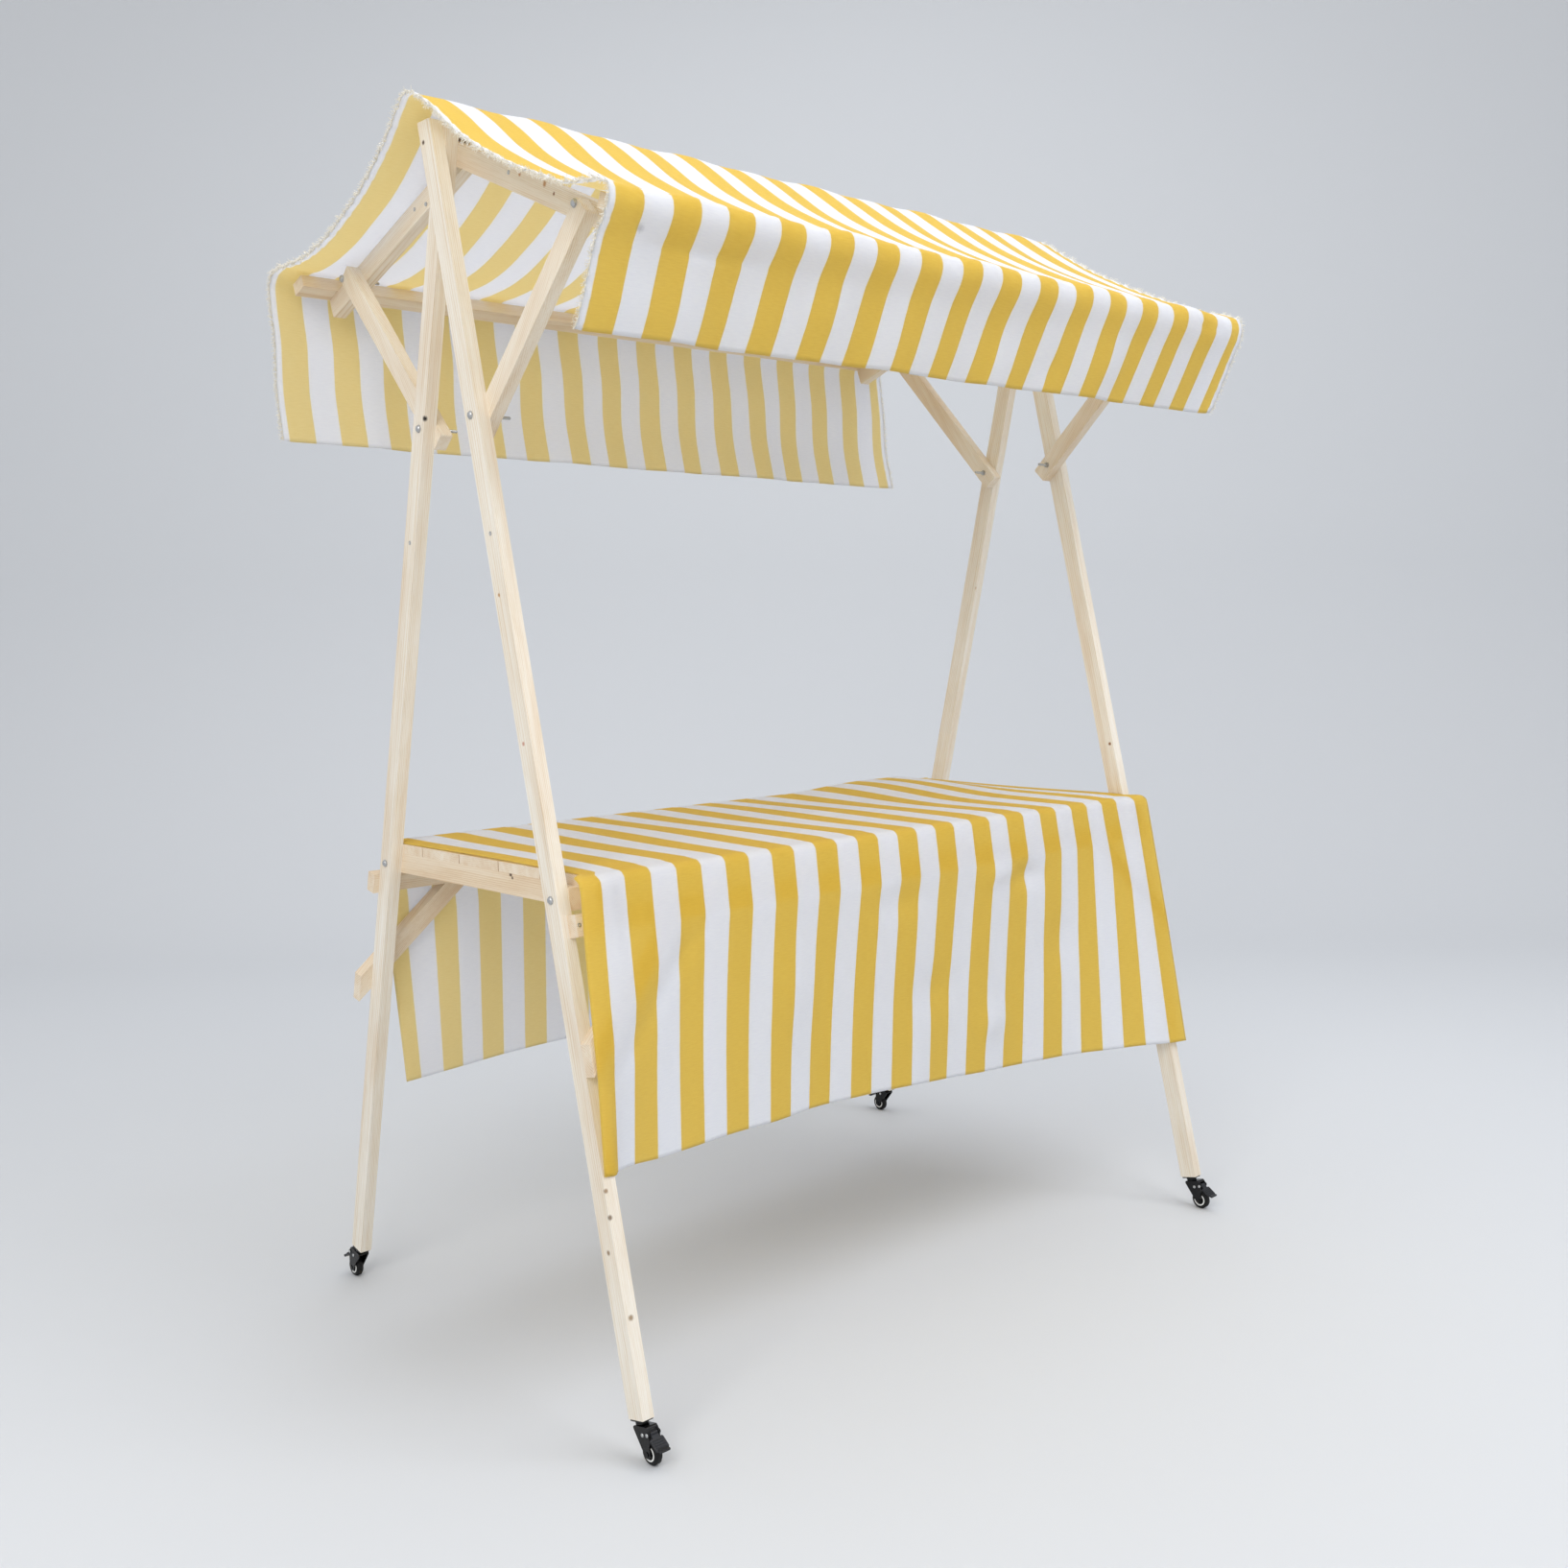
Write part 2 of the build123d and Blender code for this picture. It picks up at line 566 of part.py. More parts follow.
caster_parts = {
    "caster_plate": caster_plate(),
    "caster_fork": fork(),
    "caster_wheel": wheel(),
    "brake_pedal": brake_pedal(),
}
LEG_LAYER_X = {
    ("front", "left"): -HALF_LENGTH + BATTEN_T / 2,
    ("back", "left"): -HALF_LENGTH + BATTEN_T * 1.5,
    ("front", "right"): HALF_LENGTH - BATTEN_T * 1.5,
    ("back", "right"): HALF_LENGTH - BATTEN_T / 2,
}
for (side_name, end_name), x in LEG_LAYER_X.items():
    for part_name, shape in caster_parts.items():
        placed = shape if side_name == "front" else shape.rotate(Axis.Z, 180)
        lean = -SPLAY if side_name == "front" else SPLAY
        placed = placed.rotate(Axis.X, lean)
        side = -1 if side_name == "front" else 1
        placed = Pos(x, side * LEG_RUN, LEG_END_Z) * placed
        parts[f"{side_name}_{end_name}_{part_name}"] = placed

for name, shape in parts.items():
    export_step(shape, f"parts/{name}.step")
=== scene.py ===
# %% [markdown]
# # A pine market stall with striped cloths
# The stall is a set of pine battens bolted into two crossed end frames, with a
# counter of boards between them and two striped cotton cloths. The woodwork
# comes ready from the CAD model, so this file gives it its materials. It makes
# the two cloths, their frayed edges, the bolts and the bright parts of the
# casters, and it sets up the floor, the lamps and the camera.

# %% The CAD model as the frame
import math

import bpy
import numpy as np
from mathutils import Matrix, Vector


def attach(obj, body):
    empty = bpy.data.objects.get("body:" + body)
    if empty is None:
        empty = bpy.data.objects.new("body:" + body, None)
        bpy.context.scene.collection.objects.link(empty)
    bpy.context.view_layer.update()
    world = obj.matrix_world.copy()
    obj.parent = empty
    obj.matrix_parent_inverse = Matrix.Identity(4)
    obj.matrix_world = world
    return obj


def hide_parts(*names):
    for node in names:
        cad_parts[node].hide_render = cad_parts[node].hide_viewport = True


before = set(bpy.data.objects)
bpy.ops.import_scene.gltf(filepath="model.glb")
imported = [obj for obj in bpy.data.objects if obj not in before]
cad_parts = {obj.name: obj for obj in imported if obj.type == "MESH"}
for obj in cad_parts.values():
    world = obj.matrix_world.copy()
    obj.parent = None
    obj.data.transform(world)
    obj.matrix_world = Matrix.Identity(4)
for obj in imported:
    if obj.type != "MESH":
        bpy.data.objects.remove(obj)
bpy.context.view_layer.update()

# %% [markdown]
# ## Sizes that the looks need
# The battens lean, and the cloths lie on them, so a few of the stall's own sizes
# come back here. Everything is in metres. X runs along the counter, the front of
# the stall faces -Y, and Z is up.

# %% Sizes of the stall
BATTEN_T = 0.024  # the thickness of a batten
HALF_LENGTH = 0.815  # from the middle to the outermost leg's outer face
APEX_Z = 2.160  # where the middle lines of two crossed legs would meet
FOOT_OUT = 0.490  # how far out a leg ends
LEG_END_Z = 0.068
SPLAY = math.atan2(FOOT_OUT, APEX_Z - LEG_END_Z)
LEG_SLOPE = math.tan(SPLAY)
ROOF_ANGLE = {"front": math.radians(24.2), "back": math.radians(20.0)}
SIDE = {"front": -1, "back": 1}
END = {"left": -1, "right": 1}

print("splay of the legs", round(math.degrees(SPLAY), 2), "degrees")

# %% [markdown]
# ## The camera
# The photograph was taken from eye height, a little to the left of the stall,
# with a short lens. The camera is placed by its position and by three turns: where
# it points, how far it looks down, and how far it is rolled.

# %% Camera
CAMERA_AT = Vector((-2.2823, -2.4626, 1.3426))
CAMERA_YAW = 0.74429
CAMERA_PITCH = -0.10107
CAMERA_ROLL = -0.01761
LENS = 36.487

ahead = Vector(
    (
        math.sin(CAMERA_YAW) * math.cos(CAMERA_PITCH),
        math.cos(CAMERA_YAW) * math.cos(CAMERA_PITCH),
        math.sin(CAMERA_PITCH),
    )
)
level_right = Vector((math.cos(CAMERA_YAW), -math.sin(CAMERA_YAW), 0))
level_up = level_right.cross(ahead)
right = level_right * math.cos(CAMERA_ROLL) + level_up * math.sin(CAMERA_ROLL)
up = level_up * math.cos(CAMERA_ROLL) - level_right * math.sin(CAMERA_ROLL)
camera_data = bpy.data.cameras.new("camera")
camera_data.lens = LENS
camera_data.sensor_width = 36
camera = bpy.data.objects.new("camera", camera_data)
turned = Matrix((right, up, -ahead)).transposed().to_4x4()
camera.matrix_world = Matrix.Translation(CAMERA_AT) @ turned
bpy.context.scene.collection.objects.link(camera)
bpy.context.scene.camera = camera
print("camera at", [round(v, 3) for v in CAMERA_AT], "lens", LENS)

# %% [markdown]
# ## Helpers for materials
# A material is a small graph of nodes. One function adds a node, sets its
# choices and fills or links its inputs, so that each material reads as a list
# of what its nodes do. Colours are picked as sRGB hex, as an image editor gives
# them, and Blender works in linear light, so one function turns them.

# %% Helpers for materials
# the output that is meant when a whole node is linked, where it isn't the first
MAIN_OUTPUT = {
    "ShaderNodeMix": 2,
    "ShaderNodeTexWave": 1,
    "ShaderNodeAttribute": 1,
    "ShaderNodeTexCoord": 3,
}


def colour(hex_text):
    """An sRGB hex colour as linear RGBA."""
    channels = [int(hex_text[i : i + 2], 16) / 255 for i in (1, 3, 5)]
    linear = [c / 12.92 if c <= 0.04045 else ((c + 0.055) / 1.055) ** 2.4 for c in channels]
    return (*linear, 1.0)


def node(tree, kind, inputs=None, stops=(), **settings):
    """Adds a node. inputs are values, or nodes and sockets to link; stops are a ramp's colours."""
    made = tree.nodes.new(kind)
    for name, value in settings.items():
        setattr(made, name, value)
    for name, value in (inputs or {}).items():
        if isinstance(value, bpy.types.Node):
            value = value.outputs[MAIN_OUTPUT.get(value.bl_idname, 0)]
        if isinstance(value, bpy.types.NodeSocket):
            tree.links.new(value, made.inputs[name])
        else:
            made.inputs[name].default_value = value
    for number, (place, hex_text) in enumerate(stops):
        if number >= len(made.color_ramp.elements):
            made.color_ramp.elements.new(place)
        made.color_ramp.elements[number].position = place
        made.color_ramp.elements[number].color = colour(hex_text)
    return made


def material(name, build, **choices):
    """A material whose surface is the shader that build makes in its tree."""
    made = bpy.data.materials.new(name)
    made.use_nodes = True
    tree = made.node_tree
    tree.nodes.clear()
    node(tree, "ShaderNodeOutputMaterial", {"Surface": build(tree, **choices)})
    return made


def ramp(tree, value, *stops):
    """A colour for each value, between (place, hex colour) stops."""
    return node(tree, "ShaderNodeValToRGB", {"Fac": value}, stops)


def mixed(tree, share, first, second, blend="MIX"):
    """Two colours in one: share is that of the second."""
    sockets = {0: share, 6: first, 7: second}
    return node(tree, "ShaderNodeMix", sockets, data_type="RGBA", blend_type=blend)


def ranged(tree, value, start, stop, low=0.0, high=1.0):
    """low where the value is at start or before, high where it is at stop or past."""
    sockets = {"Value": value, "From Min": start, "From Max": stop, "To Min": low, "To Max": high}
    return node(tree, "ShaderNodeMapRange", sockets)


def calculated(tree, operation, *values):
    """One step of arithmetic."""
    return node(tree, "ShaderNodeMath", dict(enumerate(values)), operation=operation)


def distance(tree, place, point):
    """How far a place is from a point."""
    gap = node(tree, "ShaderNodeVectorMath", {0: place, 1: point}, operation="DISTANCE")
    return gap.outputs["Value"]


def noise(tree, place, scale, detail, **sockets):
    """Soft noise with patches about 1 / scale wide."""
    sockets = {"Vector": place, "Scale": scale, "Detail": detail, **sockets}
    return node(tree, "ShaderNodeTexNoise", sockets)


def relief(tree, height, strength, depth):
    """Fine relief from a height; depth is in metres."""
    sockets = {"Height": height, "Strength": strength, "Distance": depth}
    return node(tree, "ShaderNodeBump", sockets)


def shaded(tree, base, rough, specular=0.5, sheen=0.0, **sockets):
    """A surface: specular is how strongly it mirrors, sheen is the soft gloss of cloth."""
    sockets = {"Base Color": base, "Roughness": rough, "Sheen Weight": sheen, **sockets}
    return node(tree, "ShaderNodeBsdfPrincipled", {"Specular IOR Level": specular, **sockets})


# %% [markdown]
# ## Planed pine
# The battens are cheap pine, planed and left bare. A tree grows in rings round
# its pith, and a batten is a stick cut out of those rings, so the lines run
# along its length and end as arcs on its sawn ends. Rings round a line outside
# the batten give all four faces and the ends at once. The line lies along the
# batten, so each lean gets its own turn of the pattern, and each batten its own
# place in the tree, so no two look alike.

# %% Pine
RING_WIDTH = 0.0030  # pine for battens of this kind grows 2 to 4 mm a year
FIBRE_WIDTH = 0.0011  # real fibres are finer; this is as fine as the render shows
RING_GROUP = 0.012  # rings show strongly or hardly at all in groups about this wide
CLOUD = 0.06  # paler and deeper patches of a batten are about this wide
WAVE_PERIOD = 2 * math.pi / 20  # width of a Wave Texture's ring at scale 1
KNOT_RIM = 1.7  # a knot fades out at this many times its radius


def planed_pine(tree, turn, pith, tone, knots):
    """Pine for one batten: turn lays its length along X, pith is where its rings start.

    tone goes from 0, pale, to 1, deep. knots are (x, y, z, radius, hex colour)."""
    place = node(tree, "ShaderNodeTexCoord")
    lying = node(tree, "ShaderNodeMapping", {"Vector": place, "Rotation": turn, "Location": pith})

    def drawn_out(stretch):
        """The place, with all that is drawn by it longer along the batten."""
        return node(tree, "ShaderNodeMapping", {"Vector": lying, "Scale": (stretch, 1, 1)})

    def grain(stretch, size, detail):
        return noise(tree, drawn_out(stretch), 1 / size, detail, Roughness=0.6)

    sockets = {"Vector": drawn_out(0.05), "Scale": WAVE_PERIOD / RING_WIDTH, "Distortion": 7.0}
    sockets |= {"Detail": 2.0, "Detail Scale": 0.42, "Detail Roughness": 0.55}
    look = {"wave_type": "RINGS", "rings_direction": "X", "wave_profile": "SAW"}
    rings = node(tree, "ShaderNodeTexWave", sockets, **look)
    fibres = grain(0.03, FIBRE_WIDTH, 3.0)
    broad = grain(0.16, CLOUD, 2.0)
    pale = ramp(tree, broad, (0.3, "#F5F2EA"), (0.5, "#F1ECE1"), (0.68, "#EADFCE"))
    deep = ramp(tree, broad, (0.3, "#EEDDC2"), (0.5, "#E7D0AF"), (0.7, "#DFC29D"))
    late = ((0.0, "#FFFFFF"), (0.55, "#F8F2E8"), (0.9, "#E2CAA4"), (1.0, "#FFFFFF"))
    ring_share = ranged(tree, grain(0.04, RING_GROUP, 1.0), 0.35, 0.65, 0.12, 0.7)
    streaks = ramp(tree, fibres, (0.3, "#EDE3D2"), (0.55, "#FFFFFF"))
    surface = mixed(tree, tone, pale, deep)
    surface = mixed(tree, ring_share, surface, ramp(tree, rings, *late), "MULTIPLY")
    surface = mixed(tree, 0.5, surface, streaks, "MULTIPLY")
    for *middle, radius, hex_text in knots:
        uneven = calculated(tree, "MULTIPLY_ADD", fibres, radius, distance(tree, place, middle))
        share = ranged(tree, uneven, radius, radius * KNOT_RIM, 1.0, 0.0)
        surface = mixed(tree, share, surface, colour(hex_text))
    # planed wood is nearly flat: the rings show by their colour, and only the fibres stand out
    bump = relief(tree, fibres, 0.25, 0.0002)
    rough = ranged(tree, fibres, 0.0, 1.0, 0.5, 0.72)
    return shaded(tree, surface, rough, Normal=bump)


ALONG_X = (0, 0, 0)
ALONG_Y = (0, 0, -math.pi / 2)
STRUT_RISE = math.radians(56)


def lean(side, angle):
    """The turn that lays a batten along X, where it rises outwards at angle from level."""
    return (-side * angle, 0, -math.pi / 2)


DARK_KNOT = "#4A3320"
BROWN_KNOT = "#8A5A34"
PALE_KNOT = "#B98C5E"
KNOTS = {
    "front_left_leg": [
        (-0.815, 0.012, 2.170, 0.0042, DARK_KNOT),
        (-0.815, -0.174, 1.397, 0.0036, PALE_KNOT),
        (-0.815, -0.232, 1.150, 0.0040, "#C99A86"),
        (-0.813, -0.4245, 0.432, 0.0042, "#A58A6C"),
        (-0.813, -0.434, 0.390, 0.0046, "#8C7A66"),
        (-0.815, -0.429, 0.330, 0.0048, "#9A8368"),
        (-0.805, -0.471, 0.231, 0.0052, "#A58F74"),
    ],
    "back_left_leg": [
        # the near-black spot at the leg's edge is painted shade of a knot hole
        (-0.790, 0.086, 1.716, 0.0052, "#1D1712"),
        (-0.791, 0.240, 1.240, 0.0038, PALE_KNOT),
        (-0.779, 0.392, 0.434, 0.0040, BROWN_KNOT),
    ],
    "front_left_rafter": [
        (-0.767, -0.205, 2.080, 0.0040, PALE_KNOT),
        (-0.767, -0.275, 2.050, 0.0050, PALE_KNOT),
        (-0.767, -0.300, 2.030, 0.0030, BROWN_KNOT),
    ],
    "left_counter_bar": [
        (-0.767, -0.105, 0.912, 0.0050, DARK_KNOT),
        (-0.767, -0.110, 0.906, 0.0030, DARK_KNOT),
    ],
    "front_right_leg": [(0.767, -0.270, 1.050, 0.0040, BROWN_KNOT)],
    "back_right_leg": [(0.791, 0.150, 1.420, 0.0050, PALE_KNOT)],
}

number = 0
for name in sorted(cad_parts):
    words = name.split("_")
    side = SIDE.get(words[0], 1)
    if name.endswith("_leg"):
        turn, tone = lean(side, SPLAY - math.pi / 2), 0.1
    elif name.endswith("_rafter"):
        turn, tone = lean(side, -ROOF_ANGLE[words[0]]), 0.35
    elif name.endswith("_strut"):
        turn, tone = lean(side, STRUT_RISE), 0.35
    elif name.endswith("_knee_brace"):
        turn, tone = (0, -END[words[1]] * math.pi / 4, 0), 0.6
    elif name.endswith(("_counter_bar", "_counter_spacer")):
        turn, tone = ALONG_Y, 0.75
    elif name.endswith(("_purlin", "_rail")) or name.startswith("counter_board"):
        turn, tone = ALONG_X, 0.6
    else:
        continue
    number += 1
    # each batten is cut elsewhere from the tree: further along it, and off the pith
    pith = (0.37 * number, 0.031 + 0.013 * (number % 5), 0.017 * (number % 4) - 0.042)
    grain = {"turn": turn, "pith": pith, "tone": tone, "knots": KNOTS.get(name, ())}
    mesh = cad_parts[name].data
    mesh.materials.clear()
    mesh.materials.append(material("planed_pine_" + name, planed_pine, **grain))
print(number, "pine pieces have their grain")

# %% [markdown]
# ## Striped cotton
# Both cloths are a plain-woven cotton with yellow and white stripes of one width.
# The stripes follow the cloth, not the room, so the pattern reads a place that
# the mesh keeps for every point: how far across the cloth it is and how far
# along, in metres, before it was hung. The back of the cloth is painted paler,
# as painted light for the glow of light coming through it. Light comes through
# thin cotton, so half of the shader is translucent as well: that and the painted
# paler back make the underside of the roof glow.

# %% Cotton
THREAD = 0.0011  # threads of a canvas-like cotton are about this far apart
MARGIN = 0.011  # the cut edge is unravelled so far
MARGIN_BLUR = 0.002
STRIPE_BLUR = 0.0006
STRIPE_WANDER = 0.0012  # a woven stripe is this much off a straight line
SLUBS = (60, 420, 1)  # thick places in the yarn, per metre across and along
THINNESS = 0.5  # share of the light that comes through
FACE_DYES = {"yellow": ("#DFB52F", "#EAC446"), "white": ("#ECEEF4", "#F6F8FA")}
# the back's colours are painted paler: painted light for the glow of light through the cloth
BACK_PAINTED_GLOW = {"yellow": ("#E9DCA2", "#F1E6B4"), "white": ("#EBECF2", "#F4F5F8")}
SPOT_GREY = "#83868E"
SPOT_STRENGTH = 0.55


def striped_cotton(tree, first, stripe, margin, width, dye, marks=()):
    """Cotton with stripes across its width: first is where a yellow one starts.

    marks are (across, along, radius) of grey spots."""
    place = node(tree, "ShaderNodeAttribute", attribute_name="cloth_place")
    across = node(tree, "ShaderNodeSeparateXYZ", {"Vector": place}).outputs["X"]

    def calc(operation, *values):
        return calculated(tree, operation, *values)

    def scaled(scale):
        return node(tree, "ShaderNodeMapping", {"Vector": place, "Scale": scale})

    wander = calc("MULTIPLY_ADD", noise(tree, place, 45.0, 1.0), STRIPE_WANDER, across)
    in_pair = calc("FLOORED_MODULO", calc("SUBTRACT", wander, first), 2 * stripe)
    white = ranged(tree, in_pair, stripe - STRIPE_BLUR, stripe + STRIPE_BLUR)
    yellow_again = ranged(tree, in_pair, 2 * stripe - STRIPE_BLUR, 2 * stripe + STRIPE_BLUR)
    pale = calc("SUBTRACT", white, yellow_again)
    if margin:
        from_edge = calc("MINIMUM", across, calc("SUBTRACT", width, across))
        inside = ranged(tree, from_edge, margin, margin + MARGIN_BLUR)
        pale = calc("MAXIMUM", pale, calc("SUBTRACT", 1.0, inside))
    slub = noise(tree, scaled(SLUBS), 1.0, 3.0)
    # on the back these stripe colours are painted paler: painted light for the glow through the
    # cloth
    yellow, cream = (ramp(tree, slub, *zip((0.3, 0.7), dye[kind])) for kind in ("yellow", "white"))
    dyed = mixed(tree, pale, yellow, cream)
    for mark_across, mark_along, radius in marks:
        away = distance(tree, place, (mark_across, mark_along, 0))
        edge = calc("MULTIPLY_ADD", noise(tree, place, 220.0, 3.0), 1.6 * radius, away)
        clean = ranged(tree, edge, radius, 2.2 * radius)
        grey = calc("MULTIPLY", calc("SUBTRACT", 1.0, clean), SPOT_STRENGTH)
        dyed = mixed(tree, grey, dyed, colour(SPOT_GREY))
    shone_through = mixed(tree, pale, colour("#FFF4C6"), colour("#FBFCFF"))
    threads = scaled((math.pi / THREAD,) * 3)
    threads = node(tree, "ShaderNodeSeparateXYZ", {"Vector": threads}).outputs
    weave = calc("MULTIPLY", calc("SINE", threads["X"]), calc("SINE", threads["Y"]))
    bump = relief(tree, weave, 0.3, 0.0003)
    shader = shaded(tree, dyed, 0.88, 0.25, 0.12, Normal=bump)
    glow = node(tree, "ShaderNodeBsdfTranslucent", {"Color": shone_through, "Normal": bump})
    return node(tree, "ShaderNodeMixShader", {0: THINNESS, 1: shader, 2: glow})


# %% [markdown]
# ## Lines to bend a cloth along
# A hanging cloth is easiest to read from its side: one line that runs over the
# ridge, down the slope, round the eave and down to the hem. A smooth curve passes
# through a few given points and is cut into equal steps, so that the mesh
# is as fine at the folds as on the slopes. The sheet gets its thickness from a
# Solidify modifier, which also puts the painted paler back colour, painted light
# for the glow through the cloth, on its other side.


# %% Lines and sheets
def smooth_line(points, count):
    """count points, evenly spaced, on a smooth curve through the given ones."""
    p = np.array(points, float)
    p = np.vstack([2 * p[0] - p[1], p, 2 * p[-1] - p[-2]])
    fine = []
    for span in zip(p[:-3], p[1:-2], p[2:-1], p[3:]):
        gaps = [np.linalg.norm(b - a) ** 0.5 for a, b in zip(span, span[1:])]
        at = np.cumsum([0, *gaps])
        for t in np.linspace(at[1], at[2], 24, endpoint=False):
            # blend neighbours, then the blends, and last the two that meet here
            low = [
                ((at[i + 1] - t) * span[i] + (t - at[i]) * span[i + 1]) / (at[i + 1] - at[i])
                for i in range(3)
            ]
            mid = [
                ((at[i + 2] - t) * low[i] + (t - at[i]) * low[i + 1]) / (at[i + 2] - at[i])
                for i in range(2)
            ]
            fine.append(((at[2] - t) * mid[0] + (t - at[1]) * mid[1]) / (at[2] - at[1]))
    fine = np.array([*fine, p[-2]])
    run = np.concatenate([[0], np.cumsum(np.linalg.norm(np.diff(fine, axis=0), axis=1))])
    even = np.linspace(0, run[-1], count)
    return np.column_stack([np.interp(even, run, column) for column in fine.T]), run[-1]


def through(*points):
    """A smooth function through (value, result) points."""
    line, _ = smooth_line(points, 600)
    return lambda value: np.interp(value, line[:, 0], line[:, 1])


def ease(value, start, stop):
    """0 before start, 1 after stop, and smooth between."""
    t = np.clip((value - start) / (stop - start), 0, 1)
    return t * t * (3 - 2 * t)


def between(value, start, full, fading, stop):
    """1 from full to fading, and smoothly down to 0 at start and stop."""
    return ease(value, start, full) * (1 - ease(value, fading, stop))


def waves(value, *parts):
    """A sum of waves, each given by its height, rate and shift."""
    return sum(height * np.sin(rate * value + shift) for height, rate, shift in parts)


def dents(across, height, kept):
    """How deep a cloth is dented: a dent has a place, half width and height, and depth."""
    return sum(
        deep * np.exp(-(((across - middle) / wide) ** 2) - ((height - level) / high) ** 2)
        for middle, level, wide, high, deep in kept
    )


def apply_modifiers(thing):
    """Turns a piece and its modifiers into a plain mesh."""
    seen = thing.evaluated_get(bpy.context.evaluated_depsgraph_get())
    flat = bpy.data.meshes.new_from_object(seen)
    thing.modifiers.clear()
    thing.data = flat
    return thing


def new_piece(name, points, edges=(), faces=()):
    """A mesh object in the scene."""
    mesh = bpy.data.meshes.new(name)
    mesh.from_pydata(points, list(edges), list(faces))
    made = bpy.data.objects.new(name, mesh)
    bpy.context.scene.collection.objects.link(made)
    return made


CLOTH_THICKNESS = 0.0011


def grid_cloth(name, points, width, length, cottons):
    """A closed thin sheet from rows of points, which keeps its place in the flat cloth."""
    rows, columns = points.shape[:2]
    corners = np.arange(rows * columns).reshape(rows, columns)
    faces = np.stack(
        [corners[:-1, :-1], corners[1:, :-1], corners[1:, 1:], corners[:-1, 1:]], axis=-1
    ).reshape(-1, 4)
    cloth = new_piece(name, points.reshape(-1, 3).tolist(), faces=faces.tolist())
    place = np.zeros((rows, columns, 3))
    place[..., 0] = np.linspace(0, width, columns)
    place[..., 1] = np.linspace(0, length, rows)[:, None]
    kept = cloth.data.attributes.new("cloth_place", "FLOAT_VECTOR", "POINT")
    kept.data.foreach_set("vector", place.reshape(-1))
    cloth.data.polygons.foreach_set("use_smooth", [True] * len(faces))
    for cotton in cottons:
        cloth.data.materials.append(cotton)
    solid = cloth.modifiers.new("thickness", "SOLIDIFY")
    solid.thickness = CLOTH_THICKNESS
    solid.offset = 0
    solid.material_offset = 1
    apply_modifiers(cloth)
    print(name, round(width, 3), "by", round(length, 3), "m,", len(cloth.data.polygons), "faces")
    return cloth


def both_sides(name, **pattern):
    """The cotton of a cloth's face and of its back."""
    return [
        material(f"striped_cotton_{name}_{side}", striped_cotton, dye=dyes, **pattern)
        for side, dyes in (("face", FACE_DYES), ("back", BACK_PAINTED_GLOW))
    ]


# %% [markdown]
# ## The roof cloth
# One length of cotton lies over the ridge and the two eave purlins. It sags
# between them, and its own stiffness carries it a little past each eave before
# it turns down. The front valance is short and leans in, and the back one is
# longer. A simulation could drape it, but the cloth is nearly straight along the
# stall, so two side lines, one for each end, blended along its length, follow
# the real one more closely. Small waves and the creases from its packing are
# then added to the mesh.

# %% Roof cloth
ROOF_PAST_END = 0.038
ROOF_STRIPE = 0.0552
# side lines of the cloth's two ends as (y, z), from the back hem to the front one
ROOF_LEFT = [
    (0.513, 1.712), (0.531, 1.810), (0.531, 1.906), (0.542, 1.975), (0.541, 2.018),
    (0.508, 2.036), (0.457, 2.036), (0.387, 2.041), (0.317, 2.056), (0.260, 2.077),
    (0.165, 2.121), (0.075, 2.181), (0.022, 2.231), (0.0, 2.243), (-0.022, 2.236),
    (-0.078, 2.201), (-0.164, 2.136), (-0.287, 2.069), (-0.371, 2.033), (-0.452, 2.002),
    (-0.524, 1.991), (-0.556, 1.980), (-0.558, 1.955), (-0.524, 1.905), (-0.486, 1.820),
    (-0.466, 1.784),
]
ROOF_RIGHT = [
    (0.502, 1.694), (0.524, 1.790), (0.529, 1.890), (0.535, 1.945), (0.537, 1.994),
    (0.515, 2.031), (0.462, 2.042), (0.387, 2.051), (0.317, 2.070), (0.250, 2.096),
    (0.165, 2.136), (0.075, 2.190), (0.022, 2.233), (0.0, 2.242), (-0.022, 2.234),
    (-0.078, 2.196), (-0.164, 2.142), (-0.287, 2.079), (-0.371, 2.042), (-0.452, 2.008),
    (-0.515, 1.992), (-0.546, 1.975), (-0.550, 1.950), (-0.524, 1.895), (-0.488, 1.825),
    (-0.468, 1.787),
]
ROOF_ROWS = 190
ROOF_COLUMNS = 216
SAG_CREST = 0.0085  # how far the cloth rides up over the back left rafter
RAFTER_X = -0.731
# of the front valance: x, z, half width and height, and depth
VALANCE_DENTS = (
    (-0.64, 1.912, 0.110, 0.007, 0.0045),
    (-0.78, 1.935, 0.020, 0.018, 0.0040),
    (0.726, 1.950, 0.050, 0.007, 0.0040),
    (-0.36, 1.860, 0.050, 0.045, -0.0050),
    (0.10, 1.875, 0.060, 0.040, 0.0050),
    (0.44, 1.850, 0.045, 0.040, -0.0050),
    (0.26, 1.825, 0.035, 0.025, 0.0045),
)
GREY_SPOT = (-0.783, 1.935, 0.007)  # x, z and radius of a grey spot on the valance
left_line, roof_run = smooth_line(ROOF_LEFT, ROOF_ROWS)
right_line, _ = smooth_line(ROOF_RIGHT, ROOF_ROWS)
roof_width = 2 * (HALF_LENGTH + ROOF_PAST_END)
share = np.linspace(0, 1, ROOF_COLUMNS)[None, :, None]
down = np.linspace(0, 1, ROOF_ROWS)[:, None]
roof_points = np.empty((ROOF_ROWS, ROOF_COLUMNS, 3))
roof_points[..., 0] = (share[..., 0] - 0.5) * roof_width
roof_points[..., 1:] = left_line[:, None, :] * (1 - share) + right_line[:, None, :] * share
x, y, z = np.moveaxis(roof_points, -1, 0)  # what is added to these is added to the points
